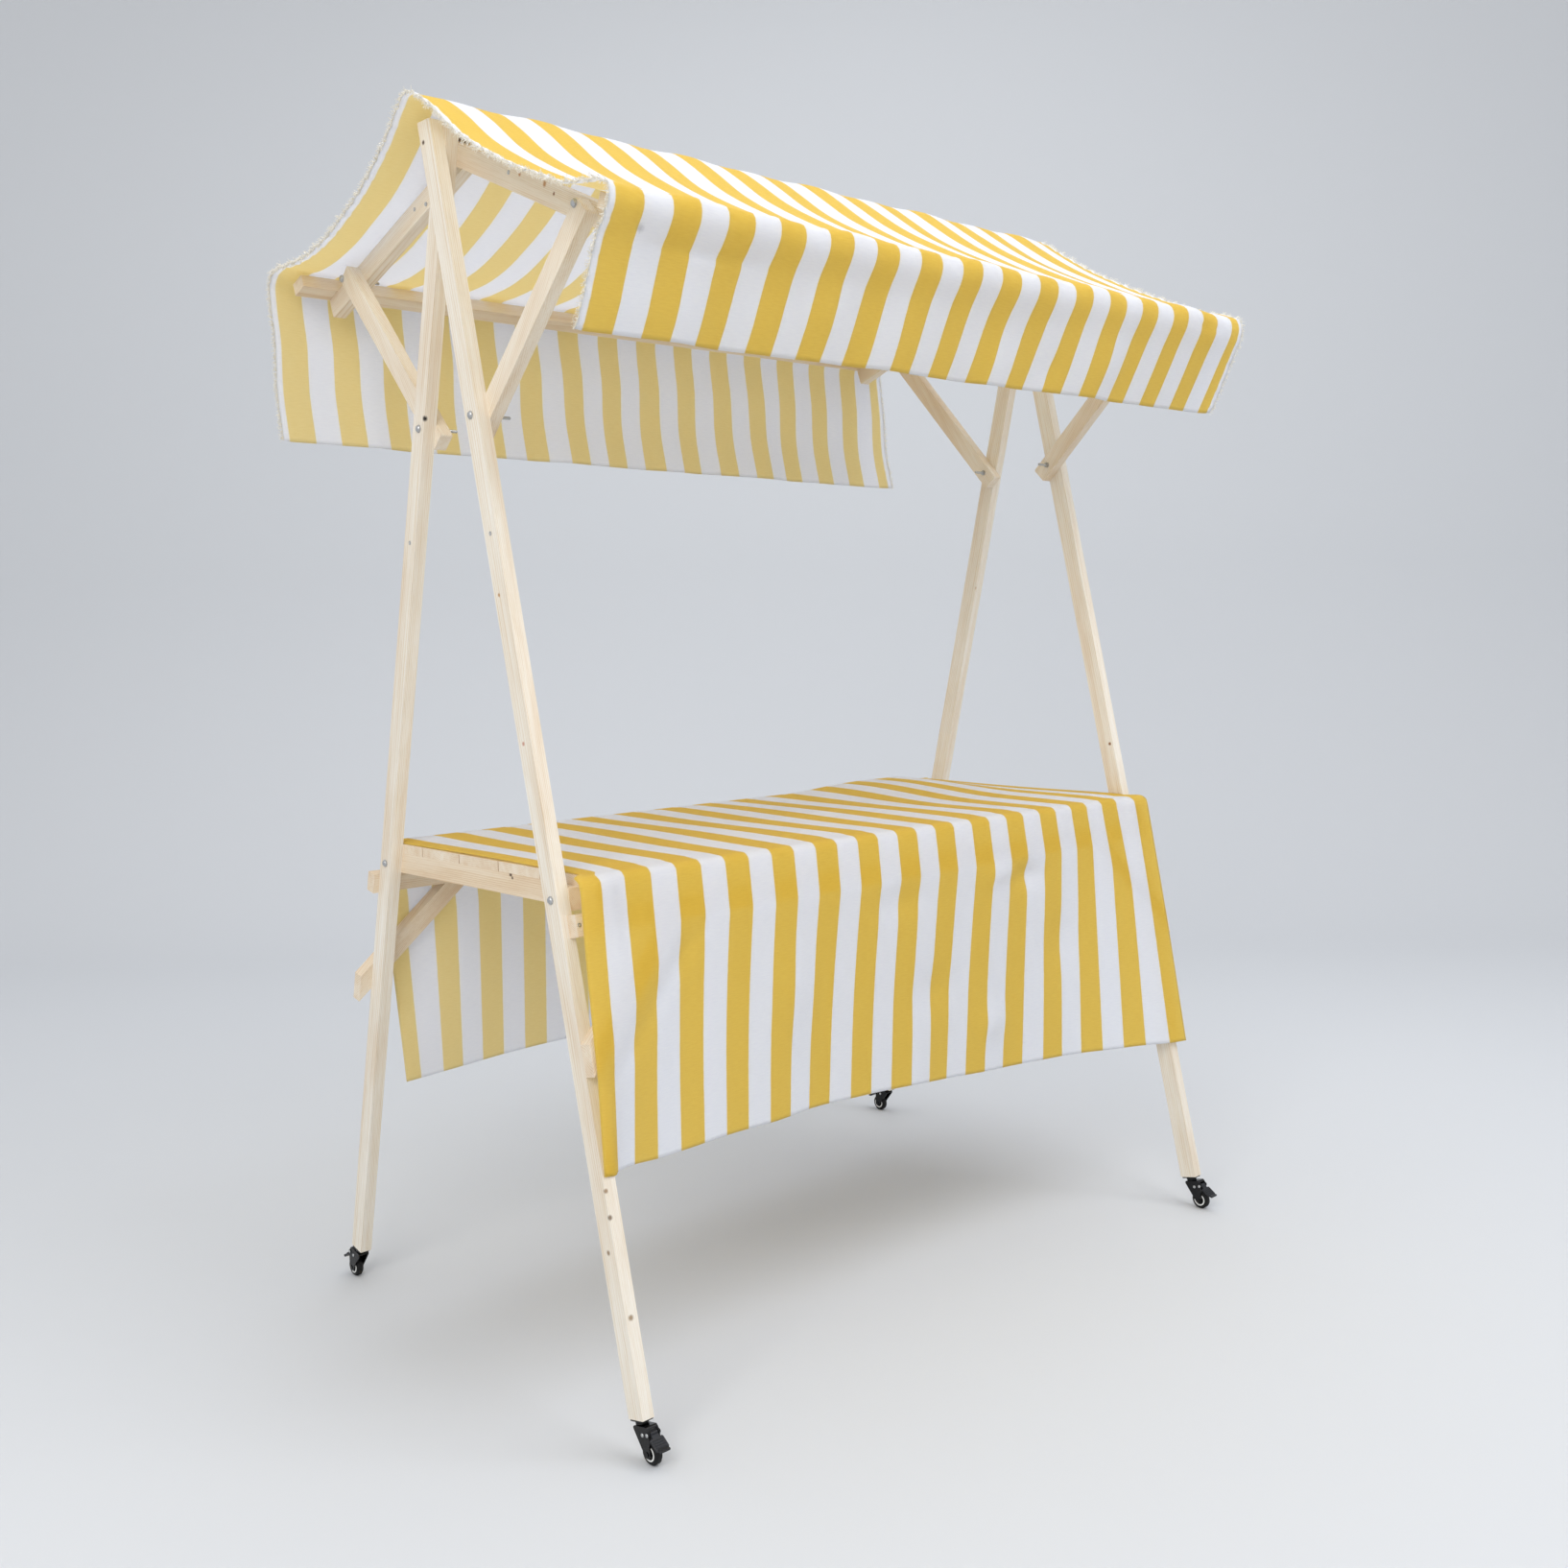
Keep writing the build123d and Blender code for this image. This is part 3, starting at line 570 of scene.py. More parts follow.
# how far a point is down a valance, from 0 at the eave to 1 at the hem
back_valance = ease(1 - down, 0.80, 1.0)
front_valance = ease(down, 0.87, 1.0)
swing = waves(x, (0.006, 11.3, 0.7), (0.004, 23.7, 2.1), (0.0025, 41, 0))
y += swing * (0.8 * front_valance + back_valance)
flutter = waves(x, (0.0016, 37, 9 * down), (0.0014, 19, 1.0 - 14 * down))
z += flutter * (1 - front_valance) * (1 - back_valance)
# it rides up over the back rafter at the left and sags beyond it
over_rafter = np.exp(-(((x - RAFTER_X) / 0.07) ** 2)) * between(y, 0.14, 0.27, 0.33, 0.46)
z += SAG_CREST * over_rafter
# the front valance keeps a few dents and creases from its packing
y += dents(x, z, VALANCE_DENTS) * ease(down, 0.86, 0.90)
# the cut edges pucker where the threads have come out
end_share = np.abs(x) / (roof_width / 2)
z += waves(down, (0.0022, 310, 0), (0.0016, 517, 1.3)) * ease(end_share, 0.975, 1.0)
# the spot is on the front valance's row at its height; rows further in are out of reach
front_rows = left_line[:, 1] + 10 * np.maximum(left_line[:, 0] + 0.5, 0)
spot_along = roof_run * np.argmin(np.abs(front_rows - GREY_SPOT[1])) / (ROOF_ROWS - 1)
spots = [(GREY_SPOT[0] + roof_width / 2, spot_along, GREY_SPOT[2])]
stripes = {"first": MARGIN, "stripe": ROOF_STRIPE, "margin": MARGIN, "width": roof_width}
cottons = both_sides("roof", marks=spots, **stripes)
roof_cloth = grid_cloth("roof_cotton", roof_points, roof_width, roof_run, cottons)
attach(roof_cloth, "frame")
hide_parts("roof_cloth")

# %% [markdown]
# ## Trees for what repeats
# Frayed threads, bolts and rivets repeat many times, so they come from Geometry
# Nodes trees. The first tree walks along a cut edge and plants a short curled
# thread at each step. The second one puts a turned metal shape on every point of
# a mesh, along the way that the point faces.


# %% Geometry Nodes trees
def node_group(name, sockets):
    """A Geometry Nodes tree with a mesh in and out, and the named inputs."""
    tree = bpy.data.node_groups.new(name, "GeometryNodeTree")
    for label, kind in {"Geometry": "Geometry", **sockets}.items():
        tree.interface.new_socket(label, in_out="INPUT", socket_type="NodeSocket" + kind)
    tree.interface.new_socket("Geometry", in_out="OUTPUT", socket_type="NodeSocketGeometry")
    return tree, node(tree, "NodeGroupInput").outputs


def grow(thing, tree, **values):
    """Runs a tree on a piece, with its inputs set by their names, and keeps the mesh."""
    modifier = thing.modifiers.new(tree.name, "NODES")
    modifier.node_group = tree
    for item in tree.interface.items_tree:
        label = item.name.replace(" ", "_").lower()
        if item.item_type == "SOCKET" and item.in_out == "INPUT" and label in values:
            modifier[item.identifier] = values[label]
    return apply_modifiers(thing)


def finish_tree(tree, grown, finish):
    """Ends a tree: one real mesh, in its material."""
    real = node(tree, "GeometryNodeRealizeInstances", {"Geometry": grown})
    coated = node(tree, "GeometryNodeSetMaterial", {"Geometry": real, "Material": finish})
    node(tree, "NodeGroupOutput", {"Geometry": coated})


labels = {"Spacing": "Float", "Thread Length": "Float", "Thread Radius": "Float"}
labels |= {"Curl": "Float", "Seed": "Int", "Material": "Material"}
fray, given = node_group("frayed_edge", labels)
edge = node(fray, "GeometryNodeMeshToCurve", {"Mesh": given["Geometry"]})
sockets = {"Curve": edge, "Length": given["Spacing"]}
steps = node(fray, "GeometryNodeResampleCurve", sockets, mode="LENGTH")
sockets = {"Resolution": 4, "Start": (0, 0, 0), "Middle": (0.5, 0.1, 0.18), "End": (1, 0, -0.1)}
thread = node(fray, "GeometryNodeCurveQuadraticBezier", sockets)
sockets = {0: (-0.75, -0.9, -0.75), 1: (0.75, 0.9, 0.75), "Seed": given["Seed"]}
spread = node(fray, "FunctionNodeRandomValue", sockets, data_type="FLOAT_VECTOR")
sockets = {2: 0.45, 3: 1.25, "Seed": given["Seed"]}
size = node(fray, "FunctionNodeRandomValue", sockets, data_type="FLOAT").outputs[1]
scale = calculated(fray, "MULTIPLY", size, given["Thread Length"])
sockets = {"Points": steps, "Instance": thread, "Rotation": spread, "Scale": scale}
planted = node(fray, "GeometryNodeInstanceOnPoints", sockets)
loose = node(fray, "GeometryNodeRealizeInstances", {"Geometry": planted})
wind = noise(fray, node(fray, "GeometryNodeInputPosition"), 260.0, 1.0).outputs["Color"]
sway = node(fray, "ShaderNodeVectorMath", {0: wind, 1: (0.5, 0.5, 0.5)}, operation="SUBTRACT")
# a thread is fixed at its root, so the noise bends it more towards its tip
along = node(fray, "GeometryNodeSplineParameter")
reach = calculated(fray, "MULTIPLY", along, given["Curl"])
bend = node(fray, "ShaderNodeVectorMath", {0: sway, "Scale": reach}, operation="SCALE")
curled = node(fray, "GeometryNodeSetPosition", {"Geometry": loose, "Offset": bend})
sockets = {"Resolution": 3, "Radius": given["Thread Radius"]}
round_thread = node(fray, "GeometryNodeCurvePrimitiveCircle", sockets)
sockets = {"Curve": curled, "Profile Curve": round_thread, "Fill Caps": True}
finish_tree(fray, node(fray, "GeometryNodeCurveToMesh", sockets), given["Material"])

labels = {"Shape": "Object", "Seed": "Int", "Material": "Material"}
fixings, given = node_group("fixings", labels)
shape = node(fixings, "GeometryNodeObjectInfo", {"Object": given["Shape"]})
sockets = {"Name": "facing"}
facing = node(fixings, "GeometryNodeInputNamedAttribute", sockets, data_type="FLOAT_VECTOR")
sockets = {"Vector": facing.outputs["Attribute"]}
outwards = node(fixings, "FunctionNodeAlignRotationToVector", sockets, axis="Z")
sockets = {2: 0.0, 3: 2 * math.pi, "Seed": given["Seed"]}
roll = node(fixings, "FunctionNodeRandomValue", sockets, data_type="FLOAT").outputs[1]
euler = node(fixings, "ShaderNodeCombineXYZ", {"Z": roll})
turned_by = node(fixings, "FunctionNodeEulerToRotation", {"Euler": euler})
sockets = {"Rotation": outwards, "Rotate By": turned_by}
stood = node(fixings, "FunctionNodeRotateRotation", sockets, rotation_space="LOCAL")
sockets = {"Points": given["Geometry"], "Instance": shape.outputs["Geometry"], "Rotation": stood}
placed = node(fixings, "GeometryNodeInstanceOnPoints", sockets)
finish_tree(fixings, placed, given["Material"])
print("trees:", fray.name, fixings.name)

# %% [markdown]
# ## Frayed edges of the roof cloth
# The roof cloth was torn to length, and its yarn has come out of the weave along
# both edges. There are many loose threads, so each is only a short curve with
# three sides. They lean every way, and a little noise curls their tips.


# %% Frayed edges
def loose_cotton(tree):
    """Undyed yarn."""
    speckle = noise(tree, node(tree, "ShaderNodeTexCoord"), 400.0, 1.0)
    return shaded(tree, ramp(tree, speckle, (0.35, "#F3EBD6"), (0.65, "#FBF8F0")), 0.9, 0.2, 0.2)


ROOT_IN = 0.0015  # the threads start so far inside the edge
YARN = {"spacing": 0.0006, "thread_length": 0.0085, "thread_radius": 0.0004, "curl": 0.009}
undyed = material("undyed_cotton_yarn", loose_cotton)
for end, column, towards in (("left", 0, -1), ("right", -1, 1)):
    edge_line = roof_points[:, column] - [towards * ROOT_IN, 0, 0]
    # the tree's threads point along +X, so the left edge is grown mirrored
    edge_line[:, 0] *= towards
    ordered = [(i, i + 1) for i in range(ROOF_ROWS - 1)]
    fringe = new_piece(f"loose_threads_{end}", edge_line.tolist(), edges=ordered)
    grow(fringe, fray, seed=3 + column, material=undyed, **YARN)
    if towards < 0:
        fringe.data.transform(Matrix.Scale(-1, 4, (1, 0, 0)))
        fringe.data.flip_normals()
    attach(fringe, "frame")
    print(fringe.name, len(fringe.data.polygons), "faces")

# %% [markdown]
# ## The counter cloth
# The second length lies over the counter boards and hangs at the front and the
# back. It was laid a little askew: its stripes slide towards the right as they
# run back, and its front hem falls to the right. Each drop lies on the rail and
# over the knee braces at both ends, whose lower edges press a slanting fold into
# it. Between them it falls nearly straight, and at the right end it stands off.

# %% Counter cloth
COUNTER_TOP = 0.9329
FOLD_Z = 0.912
BOARDS_EDGE_Y = 0.326
FOLD_Y = 0.343  # how far out the cloth leaves the boards
BAR_BULGE = 0.0107  # and how much further where the bars' ends push it
RAIL_LOW_Z = 0.838
BRACE_LOW_Z = 0.617  # a knee brace's lower edge where it meets the outermost leg's face
BRACE_RISE = 0.974  # and how much it rises for each metre towards the middle
BRACE_FACE = 0.0487  # how far a drop over a brace stands off the leg's middle line
BACK_HEM_Z = 0.440
COUNTER_STRIPE = 0.0556
FIRST_STRIPE = -0.0122  # the first yellow stripe starts a little past the edge
FLAT_LEFT = -0.795
FLAT_RIGHT = 0.798
ASKEW = 0.042  # how far the cloth slides sideways for each metre towards the back
BETWEEN_LEGS = 0.7655
CROWN = 0.018  # height of the soft fold on the top
COUNTER_COLUMNS = 206
TOP_ROWS = 46
FOLD_ROWS = 10
DROP_ROWS = 68

# each table is a line along the stall, as (x, result): the height and the place of a
# hem, and how far the cloth has slid to the right by the end of its drop
front_hem_z = through(
    (-0.83, 0.457), (-0.812, 0.456), (-0.617, 0.434), (-0.488, 0.433), (-0.352, 0.429),
    (-0.214, 0.427), (0.02, 0.416), (0.13, 0.405), (0.306, 0.392), (0.439, 0.387),
    (0.62, 0.379), (0.748, 0.375), (0.83, 0.372),
)
front_hem_y = through(
    (-0.85, 0.4212), (-0.812, 0.4212), (-0.790, 0.4208), (-0.771, 0.402), (-0.719, 0.377),
    (-0.662, 0.368), (-0.605, 0.360), (-0.3, 0.342), (-0.02, 0.337), (0.3, 0.337),
    (0.416, 0.354), (0.532, 0.378), (0.648, 0.403), (0.706, 0.424), (0.754, 0.4455),
    (0.806, 0.456), (0.85, 0.460),
)
front_slide = through(
    (-0.80, -0.017), (-0.752, -0.020), (-0.696, -0.022), (-0.64, -0.021), (-0.585, -0.018),
    (0, -0.023), (0.31, -0.012), (0.418, -0.003), (0.532, 0.0), (0.80, 0.008),
)
back_hem_y = through(
    (-0.80, 0.350), (-0.725, 0.350), (-0.65, 0.356), (-0.545, 0.362), (-0.44, 0.370),
    (-0.385, 0.374), (-0.2, 0.371), (0, 0.360), (0.3, 0.352), (0.5, 0.360),
    (0.60, 0.374), (0.69, 0.400), (0.765, 0.426), (0.83, 0.428),
)
back_slide = through(
    (-0.80, 0.060), (-0.752, 0.050), (-0.696, 0.049), (-0.64, 0.041), (-0.585, 0.037),
    (-0.4, 0.034), (0, 0.034), (0.4, 0.028), (0.80, 0.012),
)

u = np.linspace(FLAT_LEFT, FLAT_RIGHT, COUNTER_COLUMNS)


def skewed(y):
    """How far the cloth has slid to the right at y on the counter."""
    return ASKEW * (y + FOLD_Y) * (1 - 0.6 * ease(u, 0.3, 0.8))


def tucked(x, y):
    """Holds the cloth between the legs, where they pass through the counter's plane."""
    held = 1 - ease(abs(y), 0.307, 0.338)
    left_over = max(0, -BETWEEN_LEGS - x[0])
    right_over = max(0, x[-1] - BETWEEN_LEGS)
    x = x + held * left_over * (1 - ease(x - x[0], 0, 0.10))
    return x - held * right_over * (1 - ease(x[-1] - x, 0, 0.16))


def fold_y(x):
    """How far out the cloth is where it leaves the boards: more over the ends of the bars."""
    return FOLD_Y + BAR_BULGE * ease(np.abs(x), 0.700, 0.742)


def drop_y(x, z, hem_y, hem_z):
    """How far out a drop hangs: over the rail or the brace, and from there to its hem."""
    bend_z = np.minimum(RAIL_LOW_Z, BRACE_LOW_Z + (HALF_LENGTH - np.abs(x)) * BRACE_RISE)
    bend_y = (APEX_Z - bend_z) * LEG_SLOPE + BRACE_FACE
    above = (fold_y(x) - bend_y) / (FOLD_Z - bend_z)
    below = (bend_y - hem_y) / (bend_z - hem_z)
    soft = 0.003 + 0.005 * ease(np.abs(x), 0.56, 0.62)
    off = z - bend_z
    return bend_y + (above + below) / 2 * off + (above - below) / 2 * np.sqrt(off**2 + soft**2)


# of the front drop: place across and height, half width and height, and depth
DROP_DENTS = (
    (0.36, 0.800, 0.045, 0.026, 0.0110),
    (0.27, 0.815, 0.040, 0.020, -0.0060),
    (-0.02, 0.795, 0.070, 0.030, 0.0050),
    (0.08, 0.600, 0.070, 0.045, 0.0060),
    (-0.30, 0.660, 0.055, 0.080, -0.0060),
    (0.27, 0.500, 0.040, 0.035, -0.0070),
    (0.47, 0.640, 0.050, 0.060, 0.0060),
)

counter_rows = []
# back drop, from its hem up
for t in np.linspace(1, 0, DROP_ROWS, endpoint=False):
    hem_z = BACK_HEM_Z + 0.010 * np.cos(2.1 * u)
    z = FOLD_Z + (hem_z - FOLD_Z) * t
    start = skewed(FOLD_Y)
    x = u + start + (back_slide(u) - start) * ease(FOLD_Z - z, 0, 0.15)
    y = drop_y(x, z, back_hem_y(x), hem_z)
    swing = waves(u, (0.003, 9.1, 1.2), (0.0025, 21, 0))
    y = y + t * swing * (1 - ease(np.abs(u), 0.62, 0.76))
    counter_rows.append(np.column_stack([x, y, z]))
# over the top: each fold has its own short rows, as (share of the way out, height)
fold_line = [(1.0, FOLD_Z), (0.93, 0.9205), (0.62, 0.9285), (0.3, 0.9318), (0.0, COUNTER_TOP)]
round_fold, _ = smooth_line(fold_line, FOLD_ROWS)
flat_rows = [(0.0, COUNTER_TOP, y) for y in np.linspace(1, -1, TOP_ROWS)[1:-1]]
top_rows = [(out, z, 1) for out, z in round_fold] + flat_rows
top_rows += [(out, z, -1) for out, z in round_fold[::-1]]
for out, z, side in top_rows:
    y = side * (BOARDS_EDGE_Y + out * (fold_y(u) - BOARDS_EDGE_Y))
    x = tucked(u + skewed(y), y[0])
    # the cloth rises in a soft fold near the right end
    crown = CROWN * between(x, 0.15, 0.55, 0.62, 0.765) * between(y, -0.12, 0.24, 0.28, 0.322)
    ripple = 0.0012 * (1 + np.sin(14 * x + 9 * y)) * (1 - ease(np.abs(y), 0.29, 0.322))
    counter_rows.append(np.column_stack([x, y, z + crown + ripple]))
# front drop, down to its hem
for t in np.linspace(0, 1, DROP_ROWS + 1)[1:]:
    hem_z = front_hem_z(u)
    z = FOLD_Z + (hem_z - FOLD_Z) * t
    x = u + front_slide(u) * np.sin(math.pi / 2 * np.clip((FOLD_Z - z) / 0.38, 0, 1))
    y = drop_y(x, z, front_hem_y(x), hem_z)
    swing = waves(u, (0.0032, 8.3, 0.4), (0.0028, 17.9, 2.0), (0.0016, 33, 0))
    y = y + t * swing * (1 - ease(np.abs(u), 0.55, 0.74))
    # soft dents below the rail and a slanting fold at the left, from when it was packed
    y = y - dents(u, z, DROP_DENTS)
    slant = (z - 0.72) - 1.1 * (u + 0.63)
    y = y - 0.004 * np.exp(-((slant / 0.03) ** 2)) * between(z, 0.56, 0.66, 0.78, 0.85)
    counter_rows.append(np.column_stack([x, -y, z]))
counter_points = np.array(counter_rows)
counter_run = float(np.linalg.norm(np.diff(counter_points, axis=0), axis=2).sum(axis=0).mean())
counter_width = FLAT_RIGHT - FLAT_LEFT
stripes = {"first": FIRST_STRIPE, "stripe": COUNTER_STRIPE, "margin": 0, "width": counter_width}
cottons = both_sides("counter", **stripes)
counter_cloth = grid_cloth("counter_cotton", counter_points, counter_width, counter_run, cottons)
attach(counter_cloth, "frame")
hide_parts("counter_cloth")

# %% [markdown]
# ## Finishes of the metal, rubber and plastic
# The caster plates and forks are pressed steel under black gloss paint, the
# tyres are black rubber, the pedals are moulded in dark grey plastic and the
# rings on the hubs in glossy white. The bolts are zinc-plated steel.


# %% Finishes
def plain_finish(tree, dark, light, grain, rough, bumps=0.15, **choices):
    """A finish that varies a little between two colours; grain is in metres."""
    speckle = noise(tree, node(tree, "ShaderNodeTexCoord"), 1 / grain, 2.0)
    tint = ramp(tree, speckle, (0.35, dark), (0.65, light))
    shine = ranged(tree, speckle, 0.0, 1.0, *rough)
    return shaded(tree, tint, shine, Normal=relief(tree, speckle, bumps, 0.0002), **choices)


def finish(name, *look, **choices):
    """A material with a plain finish."""
    return material(name, lambda tree: plain_finish(tree, *look, **choices))


# each has its dark and light colour, its grain, its least and most roughness, and its relief
DULL = {"specular": 0.3}  # keeps the blacks deep under the large lamps
black_paint = finish("black_gloss_paint", "#050506", "#0B0B0D", 0.0015, (0.14, 0.22), **DULL)
black_rubber = finish("black_tyre_rubber", "#080808", "#101010", 0.0008, (0.5, 0.7), **DULL)
grey_plastic = finish("moulded_dark_plastic", "#1C1D20", "#27282C", 0.0006, (0.35, 0.5), **DULL)
white_plastic = finish("moulded_white_plastic", "#EFEFEA", "#F7F7F4", 0.002, (0.2, 0.28), 0.05)
zinc = finish("zinc_plated_steel", "#A9ABAC", "#C6C7C6", 0.0012, (0.28, 0.42), 0.1, Metallic=1.0)
COATS = {"plate": black_paint, "fork": black_paint, "wheel": black_rubber, "pedal": grey_plastic}
for name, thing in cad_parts.items():
    coat = COATS.get(name.split("_")[-1])
    if coat:
        thing.data.materials.clear()
        thing.data.materials.append(coat)
print("casters are painted")

# %% [markdown]
# ## Bolts, screws and rivets
# A round-headed bolt joins the battens wherever two or three of them cross: its
# head shows on the outer face, and its threaded end and nut on the inner one.
# All of these are shapes that were turned on a lathe, so each is a profile spun
# round its axis, and the tree sets them on their points.

# %% Turned shapes and their places
NUT_SIDES = 6
DOME = [
    (0, -0.0005), (0.0072, -0.0005), (0.0072, 0.0009), (0.0066, 0.0012), (0.0062, 0.0026),
    (0.0048, 0.0040), (0.0024, 0.0047), (0, 0.0049),
]
SCREW = [
    (0, -0.001), (0.0037, -0.001), (0.0038, 0.0004), (0.0030, 0.0008), (0.0015, 0.0006),
    (0.0009, -0.0005), (0, -0.0007),
]
WASHER = [(0, -0.0004), (0.0062, -0.0004), (0.0062, 0.0008), (0.0058, 0.0011), (0, 0.0011)]
NUT = [
    (0, 0.0008), (0.0050, 0.0008), (0.0057, 0.0014), (0.0057, 0.0050), (0.0050, 0.0058),
    (0, 0.0058),
]
RIVET = [
    (0, -0.0004), (0.0033, -0.0004), (0.0033, 0.0003), (0.0026, 0.0012), (0.0012, 0.0016),
    (0, 0.0017),
]
HUB_RING = [
    (0.0104, -0.0012), (0.0130, -0.0012), (0.0131, 0.0003), (0.0125, 0.0008), (0.0110, 0.0008),
    (0.0103, 0.0003),
]
THREAD_START = 0.004  # inside the nut


def threaded(length, radius=0.0029, pitch=0.0011):
    """The profile of a bolt's end, with its thread as plain ridges."""
    profile = [(0, THREAD_START)]
    for turn in range(int((length - THREAD_START) / pitch)):
        low = THREAD_START + turn * pitch
        profile += [(radius * 0.86, low), (radius, low + pitch / 2)]
    return profile + [(radius * 0.8, length), (0, length + 0.0003)]


def spun(name, parts):
    """One mesh from (profile, sides) pairs, each profile spun round Z."""
    points, faces = [], []
    for profile, sides in parts:
        rings = []
        for radius, height in profile:
            count = sides if radius else 1
            rings.append(range(len(points), len(points) + count))
            for k in range(count):
                a = 2 * math.pi * k / sides
                points.append((radius * math.cos(a), radius * math.sin(a), height))
        pairs = list(zip(rings, rings[1:]))
        if profile[0][0]:
            pairs.append((rings[-1], rings[0]))
        for low, high in pairs:
            for k in range(sides):
                corners = [low[k % len(low)], low[(k + 1) % len(low)]]
                corners += [high[(k + 1) % len(high)], high[k % len(high)]]
                faces.append(list(dict.fromkeys(corners)))
    return new_piece(name, points, faces=faces)


def set_fixings(name, parts, places, coat, body):
    """Puts a turned shape on (point, facing) places, as one piece on a body."""
    shape = spun("turned_shape", parts)
    holder = new_piece(name, [point for point, _ in places])
    kept = holder.data.attributes.new("facing", "FLOAT_VECTOR", "POINT")
    kept.data.foreach_set("vector", [v for _, way in places for v in way])
    grow(holder, fixings, shape=shape, seed=1, material=coat)
    bpy.data.objects.remove(shape)
    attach(holder, body)
    print(name, len(places), "times,", len(holder.data.polygons), "faces")


# where each shows on an end frame: how many battens in from the leg's face, y outwards, and z
STRUT_BOLT = (0, 0.1065, 1.700)
COUNTER_BOLT = (0, 0.297, 0.894)
STRUT_TOP_BOLT = {"front": (1, 0.388, 1.994), "back": (1, 0.412, 2.016)}
APEX_SCREW = (0, -0.012, 2.068)
RAFTER_SCREW = {"front": (2, 0.173, 2.090), "back": (2, 0.173, 2.102)}
LEG_SCREW = (0, 0.1545, 1.500)
# x and z of the screws that go through a rail or a brace into a leg's sloping side
SLOPE_SCREWS = ((0.796, 0.857), (0.803, 0.655))
SLOPE_OUT = 0.0442  # how far their heads are from the leg's middle line


def leg_outside(side_name, end):
    """How far out a leg's outer face is: the front leg is outermost at the left end only."""
    outermost = (end == "left") == (side_name == "front")
    return HALF_LENGTH if outermost else HALF_LENGTH - BATTEN_T


heads, screws, ends = [], [], []
for end, way in END.items():
    for side_name, side in SIDE.items():
        leg_face = way * leg_outside(side_name, end)
        for bolt in (STRUT_BOLT, COUNTER_BOLT, STRUT_TOP_BOLT[side_name]):
            depth, y, z = bolt
            x = leg_face - way * depth * BATTEN_T
            heads.append(((x, side * y, z), (way, 0, 0)))
            if bolt != COUNTER_BOLT:  # whose end the counter hides
                ends.append(((x - way * 2 * BATTEN_T, side * y, z), (-way, 0, 0)))
        for depth, y, z in (APEX_SCREW, RAFTER_SCREW[side_name], LEG_SCREW):
            screws.append(((leg_face - way * depth * BATTEN_T, side * y, z), (way, 0, 0)))
        for x, z in SLOPE_SCREWS:
            y = (APEX_Z - z) * LEG_SLOPE + SLOPE_OUT
            screws.append(((way * x, side * y, z), (0, side * math.cos(SPLAY), math.sin(SPLAY))))
bolt_end = [(WASHER, 20), (NUT, NUT_SIDES), (threaded(0.030), 12)]
set_fixings("bolt_heads", [(DOME, 24)], heads, zinc, "frame")
set_fixings("wood_screws", [(SCREW, 14)], screws, zinc, "frame")
set_fixings("bolt_ends", bolt_end, ends, zinc, "frame")

# %% [markdown]
# ## Bright parts of the casters
# Each fork has two bright rivets on both cheeks, and each wheel a white ring
# round its hub on both sides. They ride on the fork and on the wheel, so they
# turn with them. Their places are given in the caster's own directions: out from
# the swivel's axis, and up along the leg.

# %% Rivets and hub rings
WHEEL_RADIUS = 0.020
WHEEL_HALF_WIDTH = 0.007
CHEEK_OUT = 0.0115
PIN_BOSS = 0.0010  # the cheek stands out so far round the pedal's pin
TRAIL = 0.015  # how far the axle is from the swivel's axis
PEDAL_PIN = (0.025, -0.021)
SECOND_RIVET = (0.011, -0.0225)
AXLE_DROP = (LEG_END_Z - WHEEL_RADIUS + TRAIL * math.sin(SPLAY)) / math.cos(SPLAY)


def on_caster(side, out, up):
    """A place in a caster's own directions, as (y, z)."""
    y = FOOT_OUT + out * math.cos(SPLAY) - up * math.sin(SPLAY)
    z = LEG_END_Z + out * math.sin(SPLAY) + up * math.cos(SPLAY)
    return side * y, z


rivet, hub_ring = [(RIVET, 16)], [(HUB_RING, 40)]
for end, way in END.items():
    for side_name, side in SIDE.items():
        caster = f"{side_name}_{end}"
        middle_x = way * (leg_outside(side_name, end) - BATTEN_T / 2)
        rivets, rings = [], []
        for cheek in (-1, 1):
            for place, lift in ((PEDAL_PIN, PIN_BOSS), (SECOND_RIVET, 0.0)):
                rivet_x = middle_x + cheek * (CHEEK_OUT + lift)
                rivets.append(((rivet_x, *on_caster(side, *place)), (cheek, 0, 0)))
            ring_x = middle_x + cheek * WHEEL_HALF_WIDTH
            rings.append(((ring_x, *on_caster(side, TRAIL, -AXLE_DROP)), (cheek, 0, 0)))
        swivel, wheel = caster + "_swivel", caster + "_wheel"
        set_fixings("rivets_" + caster, rivet, rivets, zinc, swivel)
        set_fixings("hub_rings_" + caster, hub_ring, rings, white_plastic, wheel)

# %% [markdown]
# ## Floor, backdrop and lamps
# A pale floor that turns up into a wall behind the stall, as in a photographer's
# studio, has no line where the two meet. The world gives even soft light, and
# three large lamps give the shape its shade, the strongest one from the left.
# The world that the camera sees is a little brighter than the one that lights.

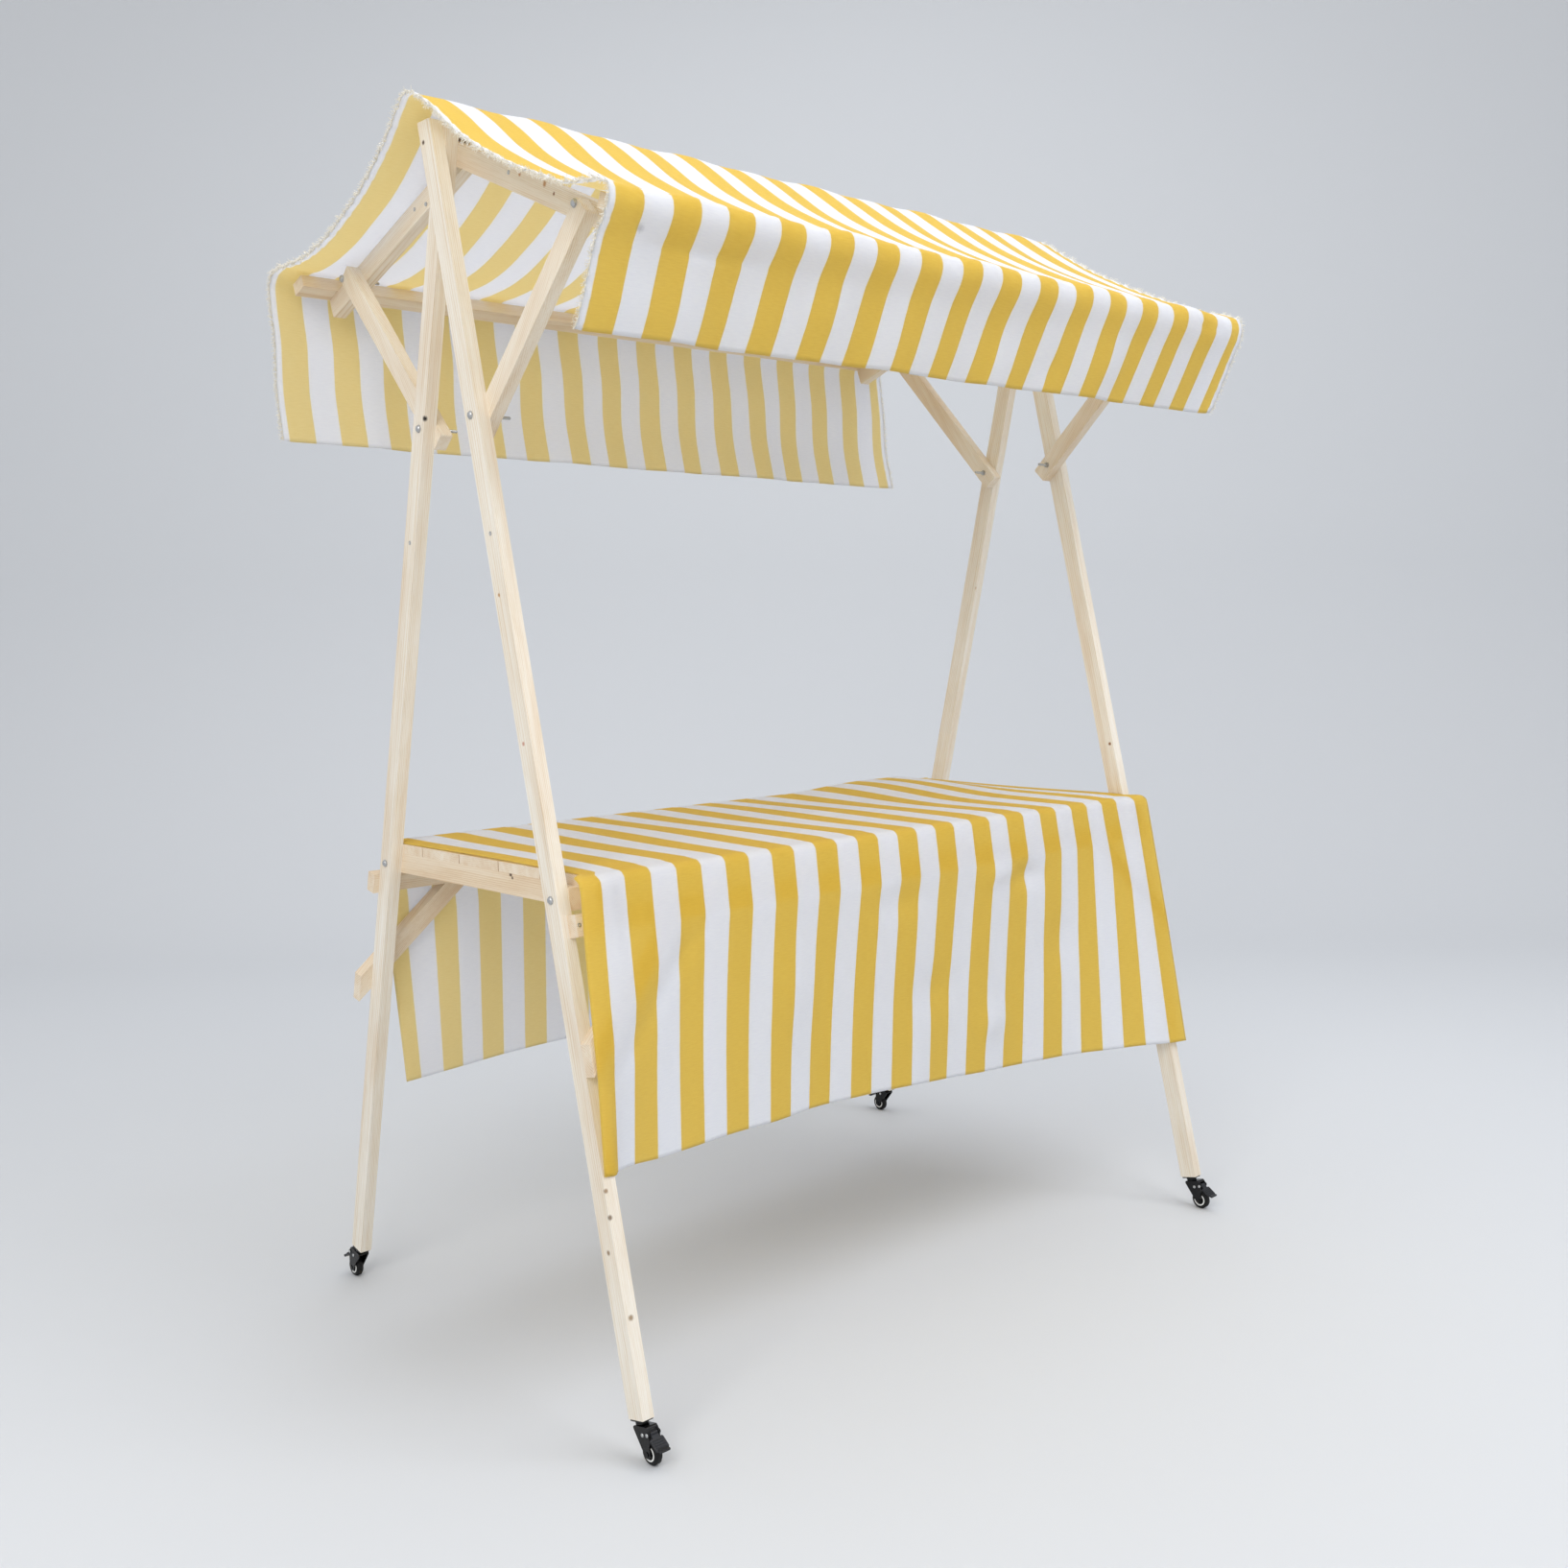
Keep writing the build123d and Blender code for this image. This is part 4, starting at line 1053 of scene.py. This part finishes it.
# %% Studio
FLOOR_REACH = 9.0
WALL_AT = 4.6
WALL_TURN = 1.6  # the radius of the bend from floor to wall
TURN_STEPS = 12
WALL_TOP = 7.0
WORLD_LIGHT = 0.7
WORLD_SEEN = 0.9
profile = [(-FLOOR_REACH, 0.0), (WALL_AT - WALL_TURN, 0.0)]
for step in range(1, TURN_STEPS + 1):
    a = math.radians(90 * step / TURN_STEPS)
    profile.append((WALL_AT - WALL_TURN * (1 - math.sin(a)), WALL_TURN * (1 - math.cos(a))))
profile.append((WALL_AT, WALL_TOP))
into_picture = Vector((math.sin(CAMERA_YAW), math.cos(CAMERA_YAW), 0))
corners = [
    tuple(into_picture * a + level_right * reach + Vector((0, 0, z)))
    for a, z in profile
    for reach in (-FLOOR_REACH, FLOOR_REACH)
]
strips = [(2 * i, 2 * i + 1, 2 * i + 3, 2 * i + 2) for i in range(len(profile) - 1)]
floor = new_piece("studio_floor", corners, faces=strips)
floor.data.polygons.foreach_set("use_smooth", [True] * len(strips))
paper = material("pale_studio_floor", lambda tree: shaded(tree, colour("#D6D8DA"), 0.9, 0.2))
floor.data.materials.append(paper)

world = bpy.data.worlds.new("studio_world")
world.use_nodes = True
bpy.context.scene.world = world
sky = world.node_tree
sky.nodes.clear()
rays = node(sky, "ShaderNodeLightPath").outputs
seen = calculated(sky, "MAXIMUM", rays["Is Camera Ray"], rays["Is Glossy Ray"])
seen = calculated(sky, "MAXIMUM", seen, rays["Is Transmission Ray"])
strength = ranged(sky, seen, 0.0, 1.0, WORLD_LIGHT, WORLD_SEEN)
light = node(sky, "ShaderNodeBackground", {"Color": colour("#F4F6FB"), "Strength": strength})
node(sky, "ShaderNodeOutputWorld", {"Surface": light})


def soft_lamp(name, place, aim, size, power, tint):
    """A square soft lamp that points at aim."""
    lamp = bpy.data.lights.new(name, "AREA")
    lamp.shape = "SQUARE"
    lamp.size = size
    lamp.energy = power
    lamp.color = colour(tint)[:3]
    made = bpy.data.objects.new(name, lamp)
    made.location = place
    made.rotation_mode = "QUATERNION"
    made.rotation_quaternion = (Vector(aim) - Vector(place)).to_track_quat("-Z", "Y")
    bpy.context.scene.collection.objects.link(made)


soft_lamp("key_lamp", (-4.0, -2.4, 3.9), (0, 0, 1.1), 3.0, 105, "#FFFDF8")
soft_lamp("front_lamp", (0.9, -2.9, 4.7), (0, 0, 0.9), 3.0, 90, "#F6F8FD")
soft_lamp("top_lamp", (0.4, 0.9, 5.4), (0, 0, 1.0), 4.0, 70, "#F6F9FF")
bpy.context.scene.view_settings.view_transform = "Standard"
print("studio is lit")
